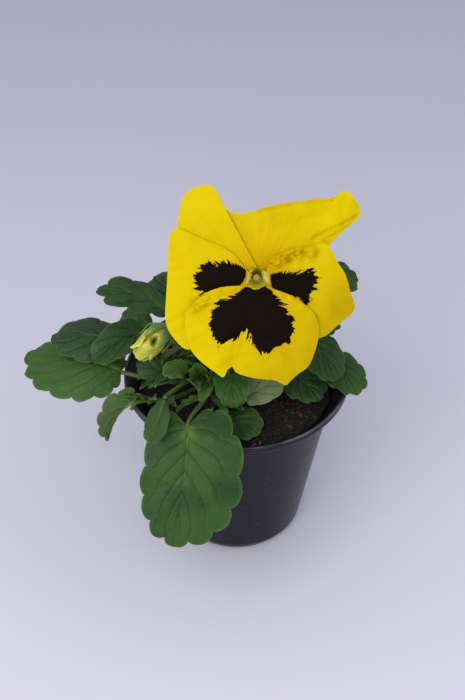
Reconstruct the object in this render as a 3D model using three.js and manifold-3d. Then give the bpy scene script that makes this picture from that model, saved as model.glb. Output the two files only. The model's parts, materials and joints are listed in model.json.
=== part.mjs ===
// A pansy in a thin round nursery pot: one open yellow flower, one half-open bud and a rosette of
// crenate leaves. Millimetres, +Z up. The origin is the middle of the pot's foot, on the ground.
import * as THREE from "three";
import { mergeVertices } from "three/addons/utils/BufferGeometryUtils.js";
import Module from "manifold-3d";

const wasm = await Module();
wasm.setup();

// ---- Driving dimensions -------------------------------------------------------------------------

const CLEARANCE = 0.3; // between neighbouring pieces
const WELD = 0.02; // edges left by a join or cut that are shorter than this are closed up
const SLIVER = 0.005; // and a triangle flatter than this turns its long edge

const POT = {
  height: 89, // foot to the top of the lip
  rimRadius: 52.5, // a 10.5 cm pot
  lip: 2.8, // height of the rolled lip
  collarDrop: 8.5, // lip's lower edge down to the top of the plain wall
  collarRadius: 44.6, // plain wall where it meets the collar
  heelRadius: 31.5,
  heelHeight: 4.5, // chamfer above the foot
  footRadius: 28.8,
  wall: 1.1,
  floor: 1.5,
  sides: 36,
};
const DRAIN = { count: 5, circle: 19, radius: 3.4, sides: 8 };

const COMPOST = { top: 81, swell: 1.6, sides: 36, rings: 5 };

const CROWN = {
  x: -10,
  y: 0,
  base: 68,
  top: 100,
  lowRadius: 5.6,
  topRadius: 3.6,
  sides: 10,
};

const LEAF_THICKNESS = 0.7;
const PETAL_THICKNESS = 0.6;
const RECEPTACLE = { top: 3.5, foot: 2.2, height: 2.6, sides: 10, sink: 1.6 };
const PETAL_ROWS = 5;
const PETIOLE = { root: 1.25, end: 0.8, sides: 5, steps: 5 };
const STEM = { root: 1.5, end: 1.3, sides: 6, steps: 12, knots: [[-8, 6, 116], [-1, 10, 136], [5, 13, 150]] };
const SEPALS = { count: 5, length: 15, half: 2.6, depth: 1.9 };
const PISTIL = { foot: 0.6, top: 0.7, stigma: 1.4, up: 0.9, out: 2.2 };

const FLOWER = {
  throat: [9, -18, 157],
  elevation: THREE.MathUtils.degToRad(34), // how far the face looks up
  layer: 1.4, // depth step from one petal to the next
  clawDepth: -4.6, // where the petals' claws end, behind the throat
  clawReach: 5, // distance from the throat at which a claw becomes blade
  clawHalf: 0.6, // half a claw's width
  nearRing: 3.6, // distance from a claw's foot to the first row of its blade
  reflex: 0.0021, // backward bow of the face, per mm of radius squared
  funnel: 1.2, // depth of the throat's dimple
  ruffle: 0.9, // height of the shared waves at the edge
  span: 43, // radius at which the waves reach that height
};

// ---- Materials ----------------------------------------------------------------------------------

const finish = (color, roughness) => new THREE.MeshStandardMaterial({ color, roughness, metalness: 0 });
const COLOURS = {
  pot: () => finish(0x23242d, 0.38),
  compost: () => finish(0x2b1d15, 0.95),
  crown: () => finish(0x5d7a35, 0.6),
  stem: () => finish(0x4f7d2c, 0.55),
  mature: () => finish(0x2a5a24, 0.5),
  young: () => finish(0x5a8a36, 0.55),
  pale: () => finish(0x7d9678, 0.6),
  petal: () => finish(0xf2cf06, 0.55),
  pistil: () => finish(0x9fae3a, 0.5),
  bud: () => finish(0xd9d873, 0.6),
};

// ---- Closed meshes and solids -------------------------------------------------------------------

const vec = ([x, y, z]) => new THREE.Vector3(x, y, z);

function closedGeometry(points, triangles) {
  const geometry = new THREE.BufferGeometry();
  const flat = points.flatMap((p) => [p.x, p.y, p.z]);
  geometry.setAttribute("position", new THREE.Float32BufferAttribute(flat, 3));
  geometry.setIndex(triangles.flat());
  return geometry;
}

function toSolid(geometry) {
  const bare = geometry.clone();
  bare.deleteAttribute("normal");
  bare.deleteAttribute("uv");
  const merged = mergeVertices(bare, 1e-4);
  return new wasm.Manifold(
    new wasm.Mesh({
      numProp: 3,
      vertProperties: new Float32Array(merged.getAttribute("position").array),
      triVerts: new Uint32Array(merged.getIndex().array),
    }),
  );
}

const edgesOf = ([a, b, c]) => [[a, b], [b, c], [c, a]];

// Merges the ends of every short edge, unless the skin would then touch itself.
function closeShortEdges(points, triangles) {
  const around = (v) => new Set(triangles.filter((t) => t.includes(v)).flat());
  const isShort = ([a, b]) => a < b && points[a].distanceTo(points[b]) < WELD;
  const shared = ([a, b]) => [...around(a)].filter((v) => around(b).has(v)).length;
  for (;;) {
    const edge = triangles.flatMap(edgesOf).filter(isShort).find((e) => shared(e) === 4);
    if (!edge) return triangles;
    const [kept, gone] = edge;
    points[kept].lerp(points[gone], 0.5);
    triangles = triangles
      .filter((t) => !(t.includes(kept) && t.includes(gone)))
      .map((t) => t.map((v) => (v === gone ? kept : v)));
  }
}

// Turns the long edge of every flat triangle to the far corner of the triangle beyond that edge.
function turnSlivers(points, triangles) {
  const span = ([a, b]) => points[a].distanceTo(points[b]);
  const longest = (t) => edgesOf(t).reduce((e, f) => (span(e) > span(f) ? e : f));
  const corner = (t, edge) => t.find((v) => !edge.includes(v));
  const area = ([a, b, c]) => new THREE.Triangle(points[a], points[b], points[c]).getArea();
  for (let i = 0; i < triangles.length; i++) {
    const edge = longest(triangles[i]);
    if ((2 * area(triangles[i])) / span(edge) > SLIVER) continue;
    const [a, b] = edge;
    const beyond = triangles.findIndex((t, k) => k !== i && t.includes(a) && t.includes(b));
    const [c, d] = [corner(triangles[i], edge), corner(triangles[beyond], edge)];
    if (triangles.some((t) => t.includes(c) && t.includes(d))) continue;
    triangles[i] = [a, d, c];
    triangles[beyond] = [d, b, c];
  }
  return triangles;
}

function toGeometry(solid) {
  const { vertProperties, triVerts } = solid.asOriginal().simplify(WELD).simplify(WELD).getMesh();
  const points = [];
  for (let i = 0; i < vertProperties.length; i += 3) {
    points.push(new THREE.Vector3(...vertProperties.slice(i, i + 3)));
  }
  const triangles = [];
  for (let i = 0; i < triVerts.length; i += 3) triangles.push([...triVerts.slice(i, i + 3)]);
  return mergeVertices(closedGeometry(points, turnSlivers(points, closeShortEdges(points, triangles))), 1e-4);
}

// The largest body of a cut solid, without the crumbs that a cut can leave.
function mainBody(solid) {
  return solid.decompose().reduce((a, b) => (a.volume() > b.volume() ? a : b));
}

// Rows of equal length become a skin; the first and last rows are capped from their middle.
function skinRows(rows) {
  const width = rows[0].length;
  const points = rows.flat();
  const triangles = [];
  for (let i = 0; i + 1 < rows.length; i++) {
    for (let j = 0; j < width; j++) {
      const a = i * width + j;
      const b = i * width + ((j + 1) % width);
      triangles.push([a, b, b + width], [a, b + width, a + width]);
    }
  }
  const cap = (start, flip) => {
    const middle = points.length;
    const ring = points.slice(start, start + width);
    points.push(ring.reduce((s, p) => s.add(p), new THREE.Vector3()).divideScalar(width));
    for (let j = 0; j < width; j++) {
      const [a, b] = [start + j, start + ((j + 1) % width)];
      triangles.push(flip ? [b, a, middle] : [a, b, middle]);
    }
  };
  cap(0, true);
  cap((rows.length - 1) * width, false);
  return closedGeometry(points, triangles);
}

// A tapering tube through the given points.
function tube(points, startRadius, endRadius, { sides = PETIOLE.sides, steps = PETIOLE.steps } = {}) {
  const curve = new THREE.CatmullRomCurve3(points.map(vec), false, "centripetal");
  const frames = curve.computeFrenetFrames(steps, false);
  const rows = [];
  for (let i = 0; i <= steps; i++) {
    const t = i / steps;
    const radius = THREE.MathUtils.lerp(startRadius, endRadius, t);
    const centre = curve.getPointAt(t);
    const row = [];
    for (let j = 0; j < sides; j++) {
      const turn = (2 * Math.PI * j) / sides;
      row.push(
        centre
          .clone()
          .addScaledVector(frames.normals[i], radius * Math.cos(turn))
          .addScaledVector(frames.binormals[i], radius * Math.sin(turn)),
      );
    }
    rows.push(row);
  }
  return skinRows(rows);
}

// A thin sheet round a surface(i, j). Both faces are split alike, so a waved sheet doesn't cross, and
// a cell is split along its other diagonal where the first would fold it over.
function sheet(rows, columns, thickness, surface) {
  const mid = [];
  for (let i = 0; i <= rows; i++) {
    mid.push([]);
    for (let j = 0; j <= columns; j++) mid[i].push(surface(i / rows, j / columns));
  }
  const crossAt = (i, j) => {
    const along = mid[Math.min(i + 1, rows)][j].clone().sub(mid[Math.max(i - 1, 0)][j]);
    const across = mid[i][Math.min(j + 1, columns)].clone().sub(mid[i][Math.max(j - 1, 0)]);
    return along.cross(across);
  };
  const facing = new THREE.Vector3(); // the sheet's mean direction, so that no corner's normal flips
  for (let i = 0; i <= rows; i++) for (let j = 0; j <= columns; j++) facing.add(crossAt(i, j));
  const normalAt = (i, j) => {
    const normal = crossAt(i, j).normalize();
    return normal.dot(facing) < 0 ? normal.negate() : normal;
  };
  const points = [];
  for (const side of [0.5, -0.5]) {
    for (let i = 0; i <= rows; i++) {
      for (let j = 0; j <= columns; j++) {
        points.push(mid[i][j].clone().addScaledVector(normalAt(i, j), side * thickness));
      }
    }
  }
  const width = columns + 1;
  const under = (rows + 1) * width;
  const triangles = [];
  for (let i = 0; i < rows; i++) {
    for (let j = 0; j < columns; j++) {
      const a = i * width + j;
      const [b, c, d] = [a + 1, a + width, a + width + 1];
      const turn = (p, q, r) => points[q].clone().sub(points[p]).cross(points[r].clone().sub(points[p]));
      const folds = turn(a, c, d).dot(turn(a, d, b)) < 0;
      for (const [p, q, r] of folds ? [[a, c, b], [c, d, b]] : [[a, c, d], [a, d, b]]) {
        triangles.push([p, q, r], [under + p, under + r, under + q]);
      }
    }
  }
  const wall = (a, b) => triangles.push([a, b, under + b], [a, under + b, under + a]);
  for (let j = 0; j < columns; j++) {
    wall(j, j + 1);
    wall(rows * width + j + 1, rows * width + j);
  }
  for (let i = 0; i < rows; i++) {
    wall((i + 1) * width, i * width);
    wall(i * width + columns, (i + 1) * width + columns);
  }
  return closedGeometry(points, triangles);
}

// ---- Pot and compost ----------------------------------------------------------------------------

// Outside of the pot from the foot to the lip, as [radius, height] pairs.
function potOutside() {
  const lipFoot = POT.height - POT.lip;
  return [
    [POT.footRadius, 0],
    [POT.heelRadius, POT.heelHeight],
    [POT.collarRadius, lipFoot - POT.collarDrop],
    [POT.collarRadius + 1.6, lipFoot - POT.collarDrop + 1.4],
    [POT.rimRadius - 1.5, lipFoot - 1],
    [POT.rimRadius - 0.3, lipFoot],
    [POT.rimRadius, lipFoot + 0.9],
    [POT.rimRadius - 0.1, POT.height - 0.3],
    [POT.rimRadius - 0.45, POT.height],
  ];
}

// Inside of the pot from the floor to the lip, one wall further in.
function potInside() {
  const collarTop = POT.height - POT.lip - POT.collarDrop;
  const slant = (POT.collarRadius - POT.heelRadius) / (collarTop - POT.heelHeight);
  const low = POT.heelRadius - POT.wall;
  return [
    [low - 1.2, POT.floor],
    [low + 0.3, POT.heelHeight + 1],
    [low + slant * (collarTop - POT.heelHeight), collarTop],
    [POT.collarRadius + 1.1 - POT.wall, collarTop + 2.2],
    [POT.rimRadius - 2.2 - POT.wall, POT.height - POT.lip - 0.4],
    [POT.rimRadius - 0.4 - POT.wall, POT.height - POT.lip + 1],
    [POT.rimRadius - 0.3 - POT.wall, POT.height],
  ];
}

function buildPot() {
  const profile = [[0, 0], ...potOutside(), ...potInside().reverse(), [0, POT.floor]];
  const shell = new THREE.LatheGeometry(profile.map(([r, z]) => new THREE.Vector2(r, z)), POT.sides);
  shell.rotateX(Math.PI / 2);
  let solid = toSolid(shell);
  for (let k = 0; k < DRAIN.count; k++) {
    const turn = (2 * Math.PI * (k + 0.5)) / DRAIN.count;
    const bore = new THREE.CylinderGeometry(DRAIN.radius, DRAIN.radius, 3 * POT.floor, DRAIN.sides);
    bore.rotateX(Math.PI / 2);
    bore.translate(DRAIN.circle * Math.cos(turn), DRAIN.circle * Math.sin(turn), POT.floor / 2);
    solid = solid.subtract(toSolid(bore));
  }
  return toGeometry(solid);
}

// Height of the compost's crumbly top at a place.
function compostTop(x, y) {
  const bumps = Math.sin(0.31 * x + 1.3) * Math.cos(0.27 * y - 0.4) + 0.5 * Math.sin(0.63 * x - 0.55 * y);
  const mound = 1.2 * Math.exp(-((x - CROWN.x) ** 2 + (y - CROWN.y) ** 2) / 260);
  return COMPOST.top + 0.45 * COMPOST.swell * bumps + mound;
}

function buildCompost() {
  const inside = potInside();
  const topRadius = () => {
    const [[r0, z0], [r1, z1]] = [inside[3], inside[4]];
    return r0 + ((r1 - r0) * (COMPOST.top - 1.5 - z0)) / (z1 - z0) - CLEARANCE - 0.35;
  };
  const rim = topRadius();
  const walls = [
    [inside[0][0] - CLEARANCE, POT.floor + CLEARANCE],
    [inside[1][0] - CLEARANCE, inside[1][1]],
    [inside[2][0] - CLEARANCE, inside[2][1]],
    [inside[3][0] - CLEARANCE - 0.2, inside[3][1]],
  ];
  const ring = (radius, height) => {
    const row = [];
    for (let j = 0; j < COMPOST.sides; j++) {
      const turn = (2 * Math.PI * j) / COMPOST.sides;
      const [x, y] = [radius * Math.cos(turn), radius * Math.sin(turn)];
      row.push(new THREE.Vector3(x, y, height ?? compostTop(x, y) - (radius === rim ? 1 : 0)));
    }
    return row;
  };
  const rows = walls.map(([r, z]) => ring(r, z));
  for (let k = COMPOST.rings; k > 0; k--) rows.push(ring((rim * k) / COMPOST.rings));
  return toGeometry(toSolid(skinRows(rows)).subtract(crownSolid(CLEARANCE)));
}

// The short leafy shoot that every petiole and flower stem springs from, grown outward by a margin.
function crownSolid(margin) {
  const rows = [];
  const levels = 5;
  for (let i = 0; i <= levels; i++) {
    const t = i / levels;
    const radius = THREE.MathUtils.lerp(CROWN.lowRadius, CROWN.topRadius, t ** 1.4);
    const end = i === 0 ? -margin : i === levels ? margin : 0;
    const row = [];
    for (let j = 0; j < CROWN.sides; j++) {
      const turn = (2 * Math.PI * j) / CROWN.sides;
      const r = radius * (1 + 0.09 * Math.cos(3 * turn + 5 * t)) + margin;
      const height = THREE.MathUtils.lerp(CROWN.base, CROWN.top, t) + end;
      row.push(new THREE.Vector3(CROWN.x + r * Math.cos(turn), CROWN.y + r * Math.sin(turn), height));
    }
    rows.push(row);
  }
  return toSolid(skinRows(rows));
}

// ---- Leaves -------------------------------------------------------------------------------------

// Outline of a leaf at a fraction u from its foot to its tip: [along the rib, away from the rib].
function leafEdge(u, { length, half, notch, broad, teeth }) {
  const swing = Math.PI * (1 - u);
  const middle = broad * length;
  const back = middle + notch * (1 - Math.exp(-(((u + 0.03) / 0.13) ** 2)));
  let along = middle + (swing < Math.PI / 2 ? length - middle : back) * Math.cos(swing);
  let away = half * Math.sin(swing) ** 0.92;
  const phase = Math.PI * (teeth.count - 0.5) * u; // half a tooth ends the outline, so the tip is whole
  const bite = teeth.depth * Math.min(1, 8 * u) * (1 - Math.abs(Math.sin(phase)) ** 0.6);
  along = middle + (along - middle) * (1 - bite);
  away *= 1 - bite;
  return [along, Math.max(away, 0.45)];
}

// The blade's middle surface: the rib is a curve, and the halves fold, cup and wave about it.
function leafSurface(leaf) {
  const rib = new THREE.QuadraticBezierCurve3(...leaf.rib.map(vec));
  const length = rib.getLength();
  const face = vec(leaf.face);
  const place = (along, across, u) => {
    const s = THREE.MathUtils.clamp(along / length, 0, 1);
    const tangent = rib.getTangentAt(s);
    const centre = rib.getPointAt(s).addScaledVector(tangent, along - s * length);
    const normal = face.clone().addScaledVector(tangent, -face.dot(tangent)).normalize();
    const side = new THREE.Vector3().crossVectors(tangent, normal);
    const v = across / leaf.half;
    const wave = leaf.wave * Math.sin(2 * Math.PI * (1.5 * u + (across > 0 ? 0.3 : 0)) + leaf.half) * v * v;
    const lift = leaf.fold * Math.abs(across) + leaf.cup * v * v * leaf.half + wave;
    return centre.addScaledVector(side, across).addScaledVector(normal, lift);
  };
  const surface = (u, w) => {
    const v = 2 * w - 1;
    const [edgeAlong, edgeAway] = leafEdge(u, { ...leaf, length });
    const ribAlong = length * u ** 1.5;
    const across = edgeAway * v * (1 + leaf.lean * Math.sign(v));
    return place(ribAlong + (edgeAlong - ribAlong) * Math.abs(v) ** 1.5, across, u);
  };
  return { surface, place, length };
}

function buildLeaf(leaf) {
  const { surface, place, length } = leafSurface(leaf);
  const rows = (leaf.fine ? 2 : 1) * (2 * leaf.teeth.count - 1);
  const columns = leaf.fine ? 6 : leaf.half > 9.5 ? 4 : 2;
  const blade = toSolid(sheet(rows, columns, LEAF_THICKNESS, surface));
  const [turn, height] = leaf.root;
  const reach = CROWN.topRadius + 0.6;
  const angle = THREE.MathUtils.degToRad(turn);
  const root = [CROWN.x + reach * Math.cos(angle), CROWN.y + reach * Math.sin(angle), height];
  const sunk = (along) => place(along, 0, 0).addScaledVector(vec(leaf.face).normalize(), -0.35).toArray();
  const path = [root, ...leaf.via, sunk(-0.8), sunk(0.16 * length)];
  const petiole = toSolid(tube(path, PETIOLE.root, PETIOLE.end));
  return toGeometry(mainBody(blade.add(petiole).subtract(crownSolid(CLEARANCE))));
}

const crenate = (count, depth = 0.09) => ({ count, depth });
const leafOf = (name, tone, root, via, rib, half, face, extra = {}) => ({
  name,
  tone,
  root,
  via,
  rib,
  half,
  face,
  notch: 2.5,
  broad: 0.43, // where the blade is broadest, as part of its length
  lean: 0, // how much broader one half is than the other
  teeth: crenate(6),
  fold: 0.12,
  cup: -0.12,
  wave: 0.8,
  ...extra,
});

// root is [bearing in degrees, height] on the crown; via are points of the petiole; rib is the
// blade's foot, control point and tip.
const LEAVES = [
  leafOf(
    "leaf_front_large", "mature", [-106, 89], [[-12.5, -21, 94]],
    [[-21.5, -50, 101], [-20.5, -66, 94], [-28, -80, 57]], 22.5, [0, -0.75, 0.66],
    { notch: 15, lean: -0.15, teeth: crenate(7, 0.08), fine: true, wave: 1.2, fold: 0.06 },
  ),
  leafOf(
    "leaf_left_outer", "mature", [200, 86], [[-32, -10, 92]],
    [[-53, -7.5, 96], [-72.5, -4, 104], [-99, 7.5, 92]], 19.5, [0.05, -0.2, 1],
    { notch: 5, teeth: crenate(7, 0.07), fine: true, fold: -0.22 },
  ),
  leafOf(
    "leaf_left_upper", "mature", [184, 91], [[-35, 3, 99]],
    [[-52, 3, 104.5], [-67, 4, 111], [-85.5, 4, 105]], 13, [-0.1, -0.2, 1],
    { teeth: crenate(5, 0.07), fold: -0.15 },
  ),
  leafOf(
    "leaf_left_folded", "mature", [178, 95], [[-26, 1, 103]],
    [[-43, 2, 111], [-53, -6, 114], [-64.5, -14, 106.5]], 8.5, [-0.15, -0.6, 0.85],
    { teeth: crenate(5, 0.05), fold: 0.4, cup: 0 },
  ),
  leafOf(
    "leaf_back_left_lobed", "mature", [128, 92], [[-20, 13, 102]],
    [[-33, 18, 112], [-49, 18, 125], [-65, 21, 120]], 10.5, [0.1, -0.2, 1],
    { teeth: crenate(4, 0.16), notch: 1 },
  ),
  leafOf(
    "leaf_back_left_dark", "mature", [116, 89], [[-19, 14, 95]],
    [[-27.5, 26, 103], [-32.5, 35, 114], [-37.5, 46, 111]], 13, [-0.1, -0.45, 0.9],
    { teeth: crenate(6, 0.07) },
  ),
  leafOf(
    "leaf_young_light", "young", [150, 98.5], [[-26, 8, 100]],
    [[-42, 11.5, 101], [-46.5, 14, 106.5], [-52.5, 27, 104]], 7.5, [-0.3, -0.5, 1],
    { teeth: crenate(4, 0.07) },
  ),
  leafOf(
    "leaf_back_right", "mature", [45, 92.3], [[14, 22, 101]],
    [[35, 37, 107], [46, 40, 115], [58, 46, 109.5]], 12, [0.1, -0.3, 1],
    { teeth: crenate(5, 0.08) },
  ),
  leafOf(
    "leaf_right_front", "mature", [2, 95], [[12, 3, 101]],
    [[31.5, 5, 105], [38.5, -5, 109], [44.5, -18, 98.5]], 10.5, [0.3, -0.45, 1],
    { teeth: crenate(6, 0.06) },
  ),
  leafOf(
    "leaf_right_outer", "mature", [12, 88], [[14, 4, 91]],
    [[38, 2, 94.5], [48, -5, 99.5], [55, -19, 91.5]], 11.5, [0.2, -0.2, 1],
    { teeth: crenate(6, 0.07) },
  ),
  leafOf(
    "leaf_right_low", "mature", [-22, 86.6], [[6, -4.6, 87.2]],
    [[25, -3, 88.5], [31, -10, 93.5], [38, -18, 87]], 10.5, [0.05, -0.2, 1],
    { teeth: crenate(5, 0.08) },
  ),
  leafOf(
    "leaf_pale", "pale", [-58, 92], [[-3, -14, 93]],
    [[4, -24.5, 95], [11.5, -21, 99], [21.5, -16.5, 98]], 7.5, [-0.1, -0.6, 0.8],
    { teeth: crenate(4, 0.06) },
  ),
  leafOf(
    "leaf_centre_curled", "mature", [-60, 96.5], [[-6, -11, 101]],
    [[-3.5, -18, 103], [-2, -30, 107], [-1, -35, 98]], 8.2, [0.1, -0.7, 0.75],
    { teeth: crenate(6, 0.07), cup: 0.1 },
  ),
  leafOf(
    "leaf_centre_round", "mature", [-84, 85], [[-8, -17, 85]],
    [[-4.5, -28, 86], [2.5, -34, 89.5], [10, -40, 86.5]], 9, [0, -0.3, 1],
    { teeth: crenate(5, 0.06) },
  ),
  leafOf(
    "leaf_young_curled", "young", [-126, 98], [[-15, -10, 100]],
    [[-16, -18, 101.5], [-17.5, -22.5, 106], [-18, -22, 113]], 4.5, [0.2, -1, 0.2],
    { teeth: crenate(4, 0.07), fold: 0.35, cup: 0.2, notch: 0.5 },
  ),
  leafOf(
    "leaf_left_hanging", "young", [226, 85], [[-30, -20, 90]],
    [[-46, -27, 94.5], [-54.6, -30, 93], [-58.3, -37, 79.7]], 5.4, [-0.77, 0.63, 0.05],
    { notch: 6, teeth: crenate(5, 0.07), fine: true, fold: 0.3, cup: 1.1, wave: 0.4 },
  ),
  leafOf(
    "leaf_spatulate", "mature", [246, 93.5], [[-22, -17, 98]],
    [[-31.8, -38, 105.7], [-32.8, -55, 111.7], [-37, -67, 106.3]], 5, [-0.1, 0.7, -0.7],
    { notch: 0, broad: 0.64, teeth: crenate(4, 0.03) },
  ),
  leafOf(
    "leaf_back_low", "mature", [99, 86.4], [[-12.4, 20.5, 92.4]],
    [[-14, 38, 97], [-15, 48, 102], [-17, 62, 94]], 12, [0, 0.2, 1],
    { teeth: crenate(5, 0.08) },
  ),
  leafOf(
    "leaf_back_middle", "mature", [78, 91], [[-5, 16, 98]],
    [[2, 30, 104], [6, 40, 110], [11, 54, 104]], 12.5, [0, 0.2, 1],
    { teeth: crenate(6, 0.07) },
  ),
  leafOf(
    "leaf_back_outer", "mature", [62, 87], [[6, 22, 92]],
    [[20, 42, 96.5], [26, 52, 101], [34, 62, 91]], 13, [0, 0.25, 1],
    { teeth: crenate(6, 0.07) },
  ),
  leafOf(
    "leaf_right_back", "mature", [32, 85], [[12, 14, 88]],
    [[30, 24, 93], [40, 29, 97], [49, 35, 92]], 9.5, [0.1, 0, 1],
    { teeth: crenate(5, 0.08) },
  ),
  leafOf(
    "leaf_small_cup", "young", [-99, 96.5], [[-11.5, -12, 99]],
    [[-13, -21, 100.5], [-14, -31, 105.5], [-16, -35, 101.5]], 3.2, [0.1, -0.5, 0.9],
    { teeth: crenate(3, 0.06), cup: 0.4, notch: 0.5 },
  ),
  leafOf(
    "leaf_small_side", "young", [-40, 99], [[-6, -6, 103]],
    [[-4, -12, 106], [-4, -18, 110], [-5, -18, 113]], 4, [0, -1, 0.4],
    { teeth: crenate(3, 0.06), notch: 0.5 },
  ),
  leafOf(
    "leaf_small_left", "young", [-150, 95.5], [[-17, -8, 99]],
    [[-23, -15, 102], [-27, -17, 107], [-33, -20, 104]], 4.6, [0, -0.6, 0.8],
    { teeth: crenate(4, 0.08), cup: 0.3, notch: 0.5 },
  ),
  leafOf(
    "leaf_small_bud", "mature", [214, 90], [[-20, -7, 95.5]],
    [[-30, -12, 98], [-38, -15, 104], [-45, -10, 104]], 7, [-0.1, -0.6, 0.8],
    { teeth: crenate(4, 0.09) },
  ),
];

// ---- Flower -------------------------------------------------------------------------------------

const faceNormal = new THREE.Vector3(0, -Math.cos(FLOWER.elevation), Math.sin(FLOWER.elevation));
const faceRight = new THREE.Vector3(1, 0, 0);
const faceUp = new THREE.Vector3().crossVectors(faceNormal, faceRight);

function onFace(x, y, depth) {
  return vec(FLOWER.throat)
    .addScaledVector(faceRight, x)
    .addScaledVector(faceUp, y)
    .addScaledVector(faceNormal, depth);
}

// Depth that all five petals share: bowed back, dimpled at the throat and ruffled outward.
function faceDepth(x, y) {
  const radius = Math.hypot(x, y);
  const turn = Math.atan2(y, x);
  const waves = Math.sin(5 * turn + 0.6) + 0.6 * Math.sin(9 * turn + 2);
  return (
    -FLOWER.reflex * radius * radius -
    FLOWER.funnel * Math.exp(-((radius / 5) ** 2)) +
    FLOWER.ruffle * waves * (radius / FLOWER.span) ** 2
  );
}

// Outlines are in mm on the face, from one side of the claw round to the other. A curl bends an edge
// that no neighbour covers: [x, y, reach, height].
const PETALS = [
  {
    name: "petal_upper_right",
    level: 0,
    claw: [1.5, 2],
    curls: [[44, 27, 9, -2.5], [40, 37, 7, 1.5]],
    outline: [
      [27, 10.8], [33.5, 17], [39, 22], [43.5, 26], [44, 28.5], [42, 32.5], [38.5, 36.5], [36, 36.5],
      [32, 34.2], [24, 33.3], [13.5, 32], [7, 31], [0.5, 29.2], [-5.5, 27.6], [-10, 27.6], [-14, 29],
      [-18, 30], [-5.2, 9.7],
    ],
  },
  {
    name: "petal_upper_left",
    level: 1,
    claw: [-1.5, 2],
    curls: [[-23, 41, 5, -0.9], [-36, 29, 5, 0.5]],
    outline: [
      [-2.5, 7], [-16, 33.1], [-18, 37], [-20, 39], [-24.5, 39], [-28, 38], [-31.5, 34.5], [-33.3, 30],
      [-34, 25.5], [-34.5, 21], [-32, 15.5],
    ],
  },
  {
    name: "petal_side_left",
    level: 2,
    claw: [-2.5, -0.8],
    curls: [[-40, 15, 7, 1.4], [-42, -24, 6, 1]],
    outline: [
      [-14, 12], [-24.5, 17], [-34.5, 21], [-37, 19.5], [-38, 14], [-38.3, 6], [-38.8, -2],
      [-39.3, -10], [-39.6, -17], [-38.5, -22], [-35.5, -26.5], [-30.5, -30.5], [-22.5, -28.5],
    ],
  },
  {
    name: "petal_side_right",
    level: 2,
    claw: [2.5, -0.8],
    curls: [[42, -14, 8, -1.5], [30, 15, 6, 0.8]],
    outline: [
      [24, -26], [29, -24.5], [35, -19.5], [40.5, -15], [41.5, -12.5], [39.5, -6], [37, 1.5],
      [33.5, 7], [28.5, 14.5], [20, 12.5], [12.5, 8.6],
    ],
  },
  {
    name: "petal_lip",
    level: 3,
    claw: [0, -2.6],
    curls: [[-32, -22, 9, 2], [-13, -42, 5, 1.5], [13, -46, 7, 2], [26, -30, 8, -1]],
    outline: [
      [-22.5, -6.8], [-27, -10], [-30, -13.3], [-31, -18], [-30.5, -24], [-28.6, -30.5], [-25, -35],
      [-18.5, -40], [-14.9, -42.3], [-12.8, -39], [-11, -38], [-9.5, -40.3], [-3.5, -42.5],
      [2, -43.2], [7.5, -43.8], [12, -45.6], [13.8, -43.8], [17, -41], [21.5, -37.5], [23.7, -33],
      [25.4, -27], [26, -21.5], [24.5, -16.5], [20.5, -11.8], [15.5, -8.8], [10.5, -6.2],
    ],
  },
];

function buildPetal({ level, claw, curls, outline }) {
  const [clawX, clawY] = claw;
  const clawTurn = Math.atan2(clawY, clawX);
  const turnOf = ([x, y]) => Math.atan2(y - clawY, x - clawX);
  const corners = outline.map(([x, y]) => new THREE.Vector3(x, y, 0));
  const edge = new THREE.CatmullRomCurve3(corners, false, "centripetal");
  const winding = Math.sign(Math.sin(turnOf(outline[4]) - turnOf(outline[2]))) || 1;
  const surface = (s, t) => {
    const rim = edge.getPoint(t);
    const shift = FLOWER.clawHalf * (2 * t - 1) * winding;
    const foot = [clawX - shift * Math.sin(clawTurn), clawY + shift * Math.cos(clawTurn)];
    const spread = Math.hypot(rim.x - clawX, rim.y - clawY);
    const near = Math.min(FLOWER.nearRing / spread, 0.5);
    const reach = s === 0 ? 0.04 : near + ((1 - near) * (s * PETAL_ROWS - 1)) / (PETAL_ROWS - 1);
    const x = THREE.MathUtils.lerp(foot[0], rim.x, reach);
    const y = THREE.MathUtils.lerp(foot[1], rim.y, reach);
    const radius = Math.hypot(x, y);
    const rise = s === 0 ? 0 : THREE.MathUtils.smoothstep(radius, 1.5, FLOWER.clawReach);
    let depth = faceDepth(x, y) + level * FLOWER.layer;
    for (const [cx, cy, size, height] of curls) {
      depth += height * Math.exp(-((x - cx) ** 2 + (y - cy) ** 2) / size ** 2);
    }
    return onFace(x, y, THREE.MathUtils.lerp(FLOWER.clawDepth, depth, rise));
  };
  return sheet(PETAL_ROWS, outline.length, PETAL_THICKNESS, surface);
}

// A pointed sepal lying behind the petals.
function sepal(turn, length, half, depth) {
  const surface = (u, w) => {
    const across = half * (2 * w - 1) * Math.sin(Math.PI * Math.min(0.97, 0.18 + 0.8 * u));
    const along = -2 + (length + 2) * u;
    const [c, s] = [Math.cos(turn), Math.sin(turn)];
    const sag = depth - 0.0035 * along * along - 0.04 * across * across;
    return onFace(along * c - across * s, along * s + across * c, sag);
  };
  return toSolid(sheet(4, 2, PETAL_THICKNESS, surface));
}

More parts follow.
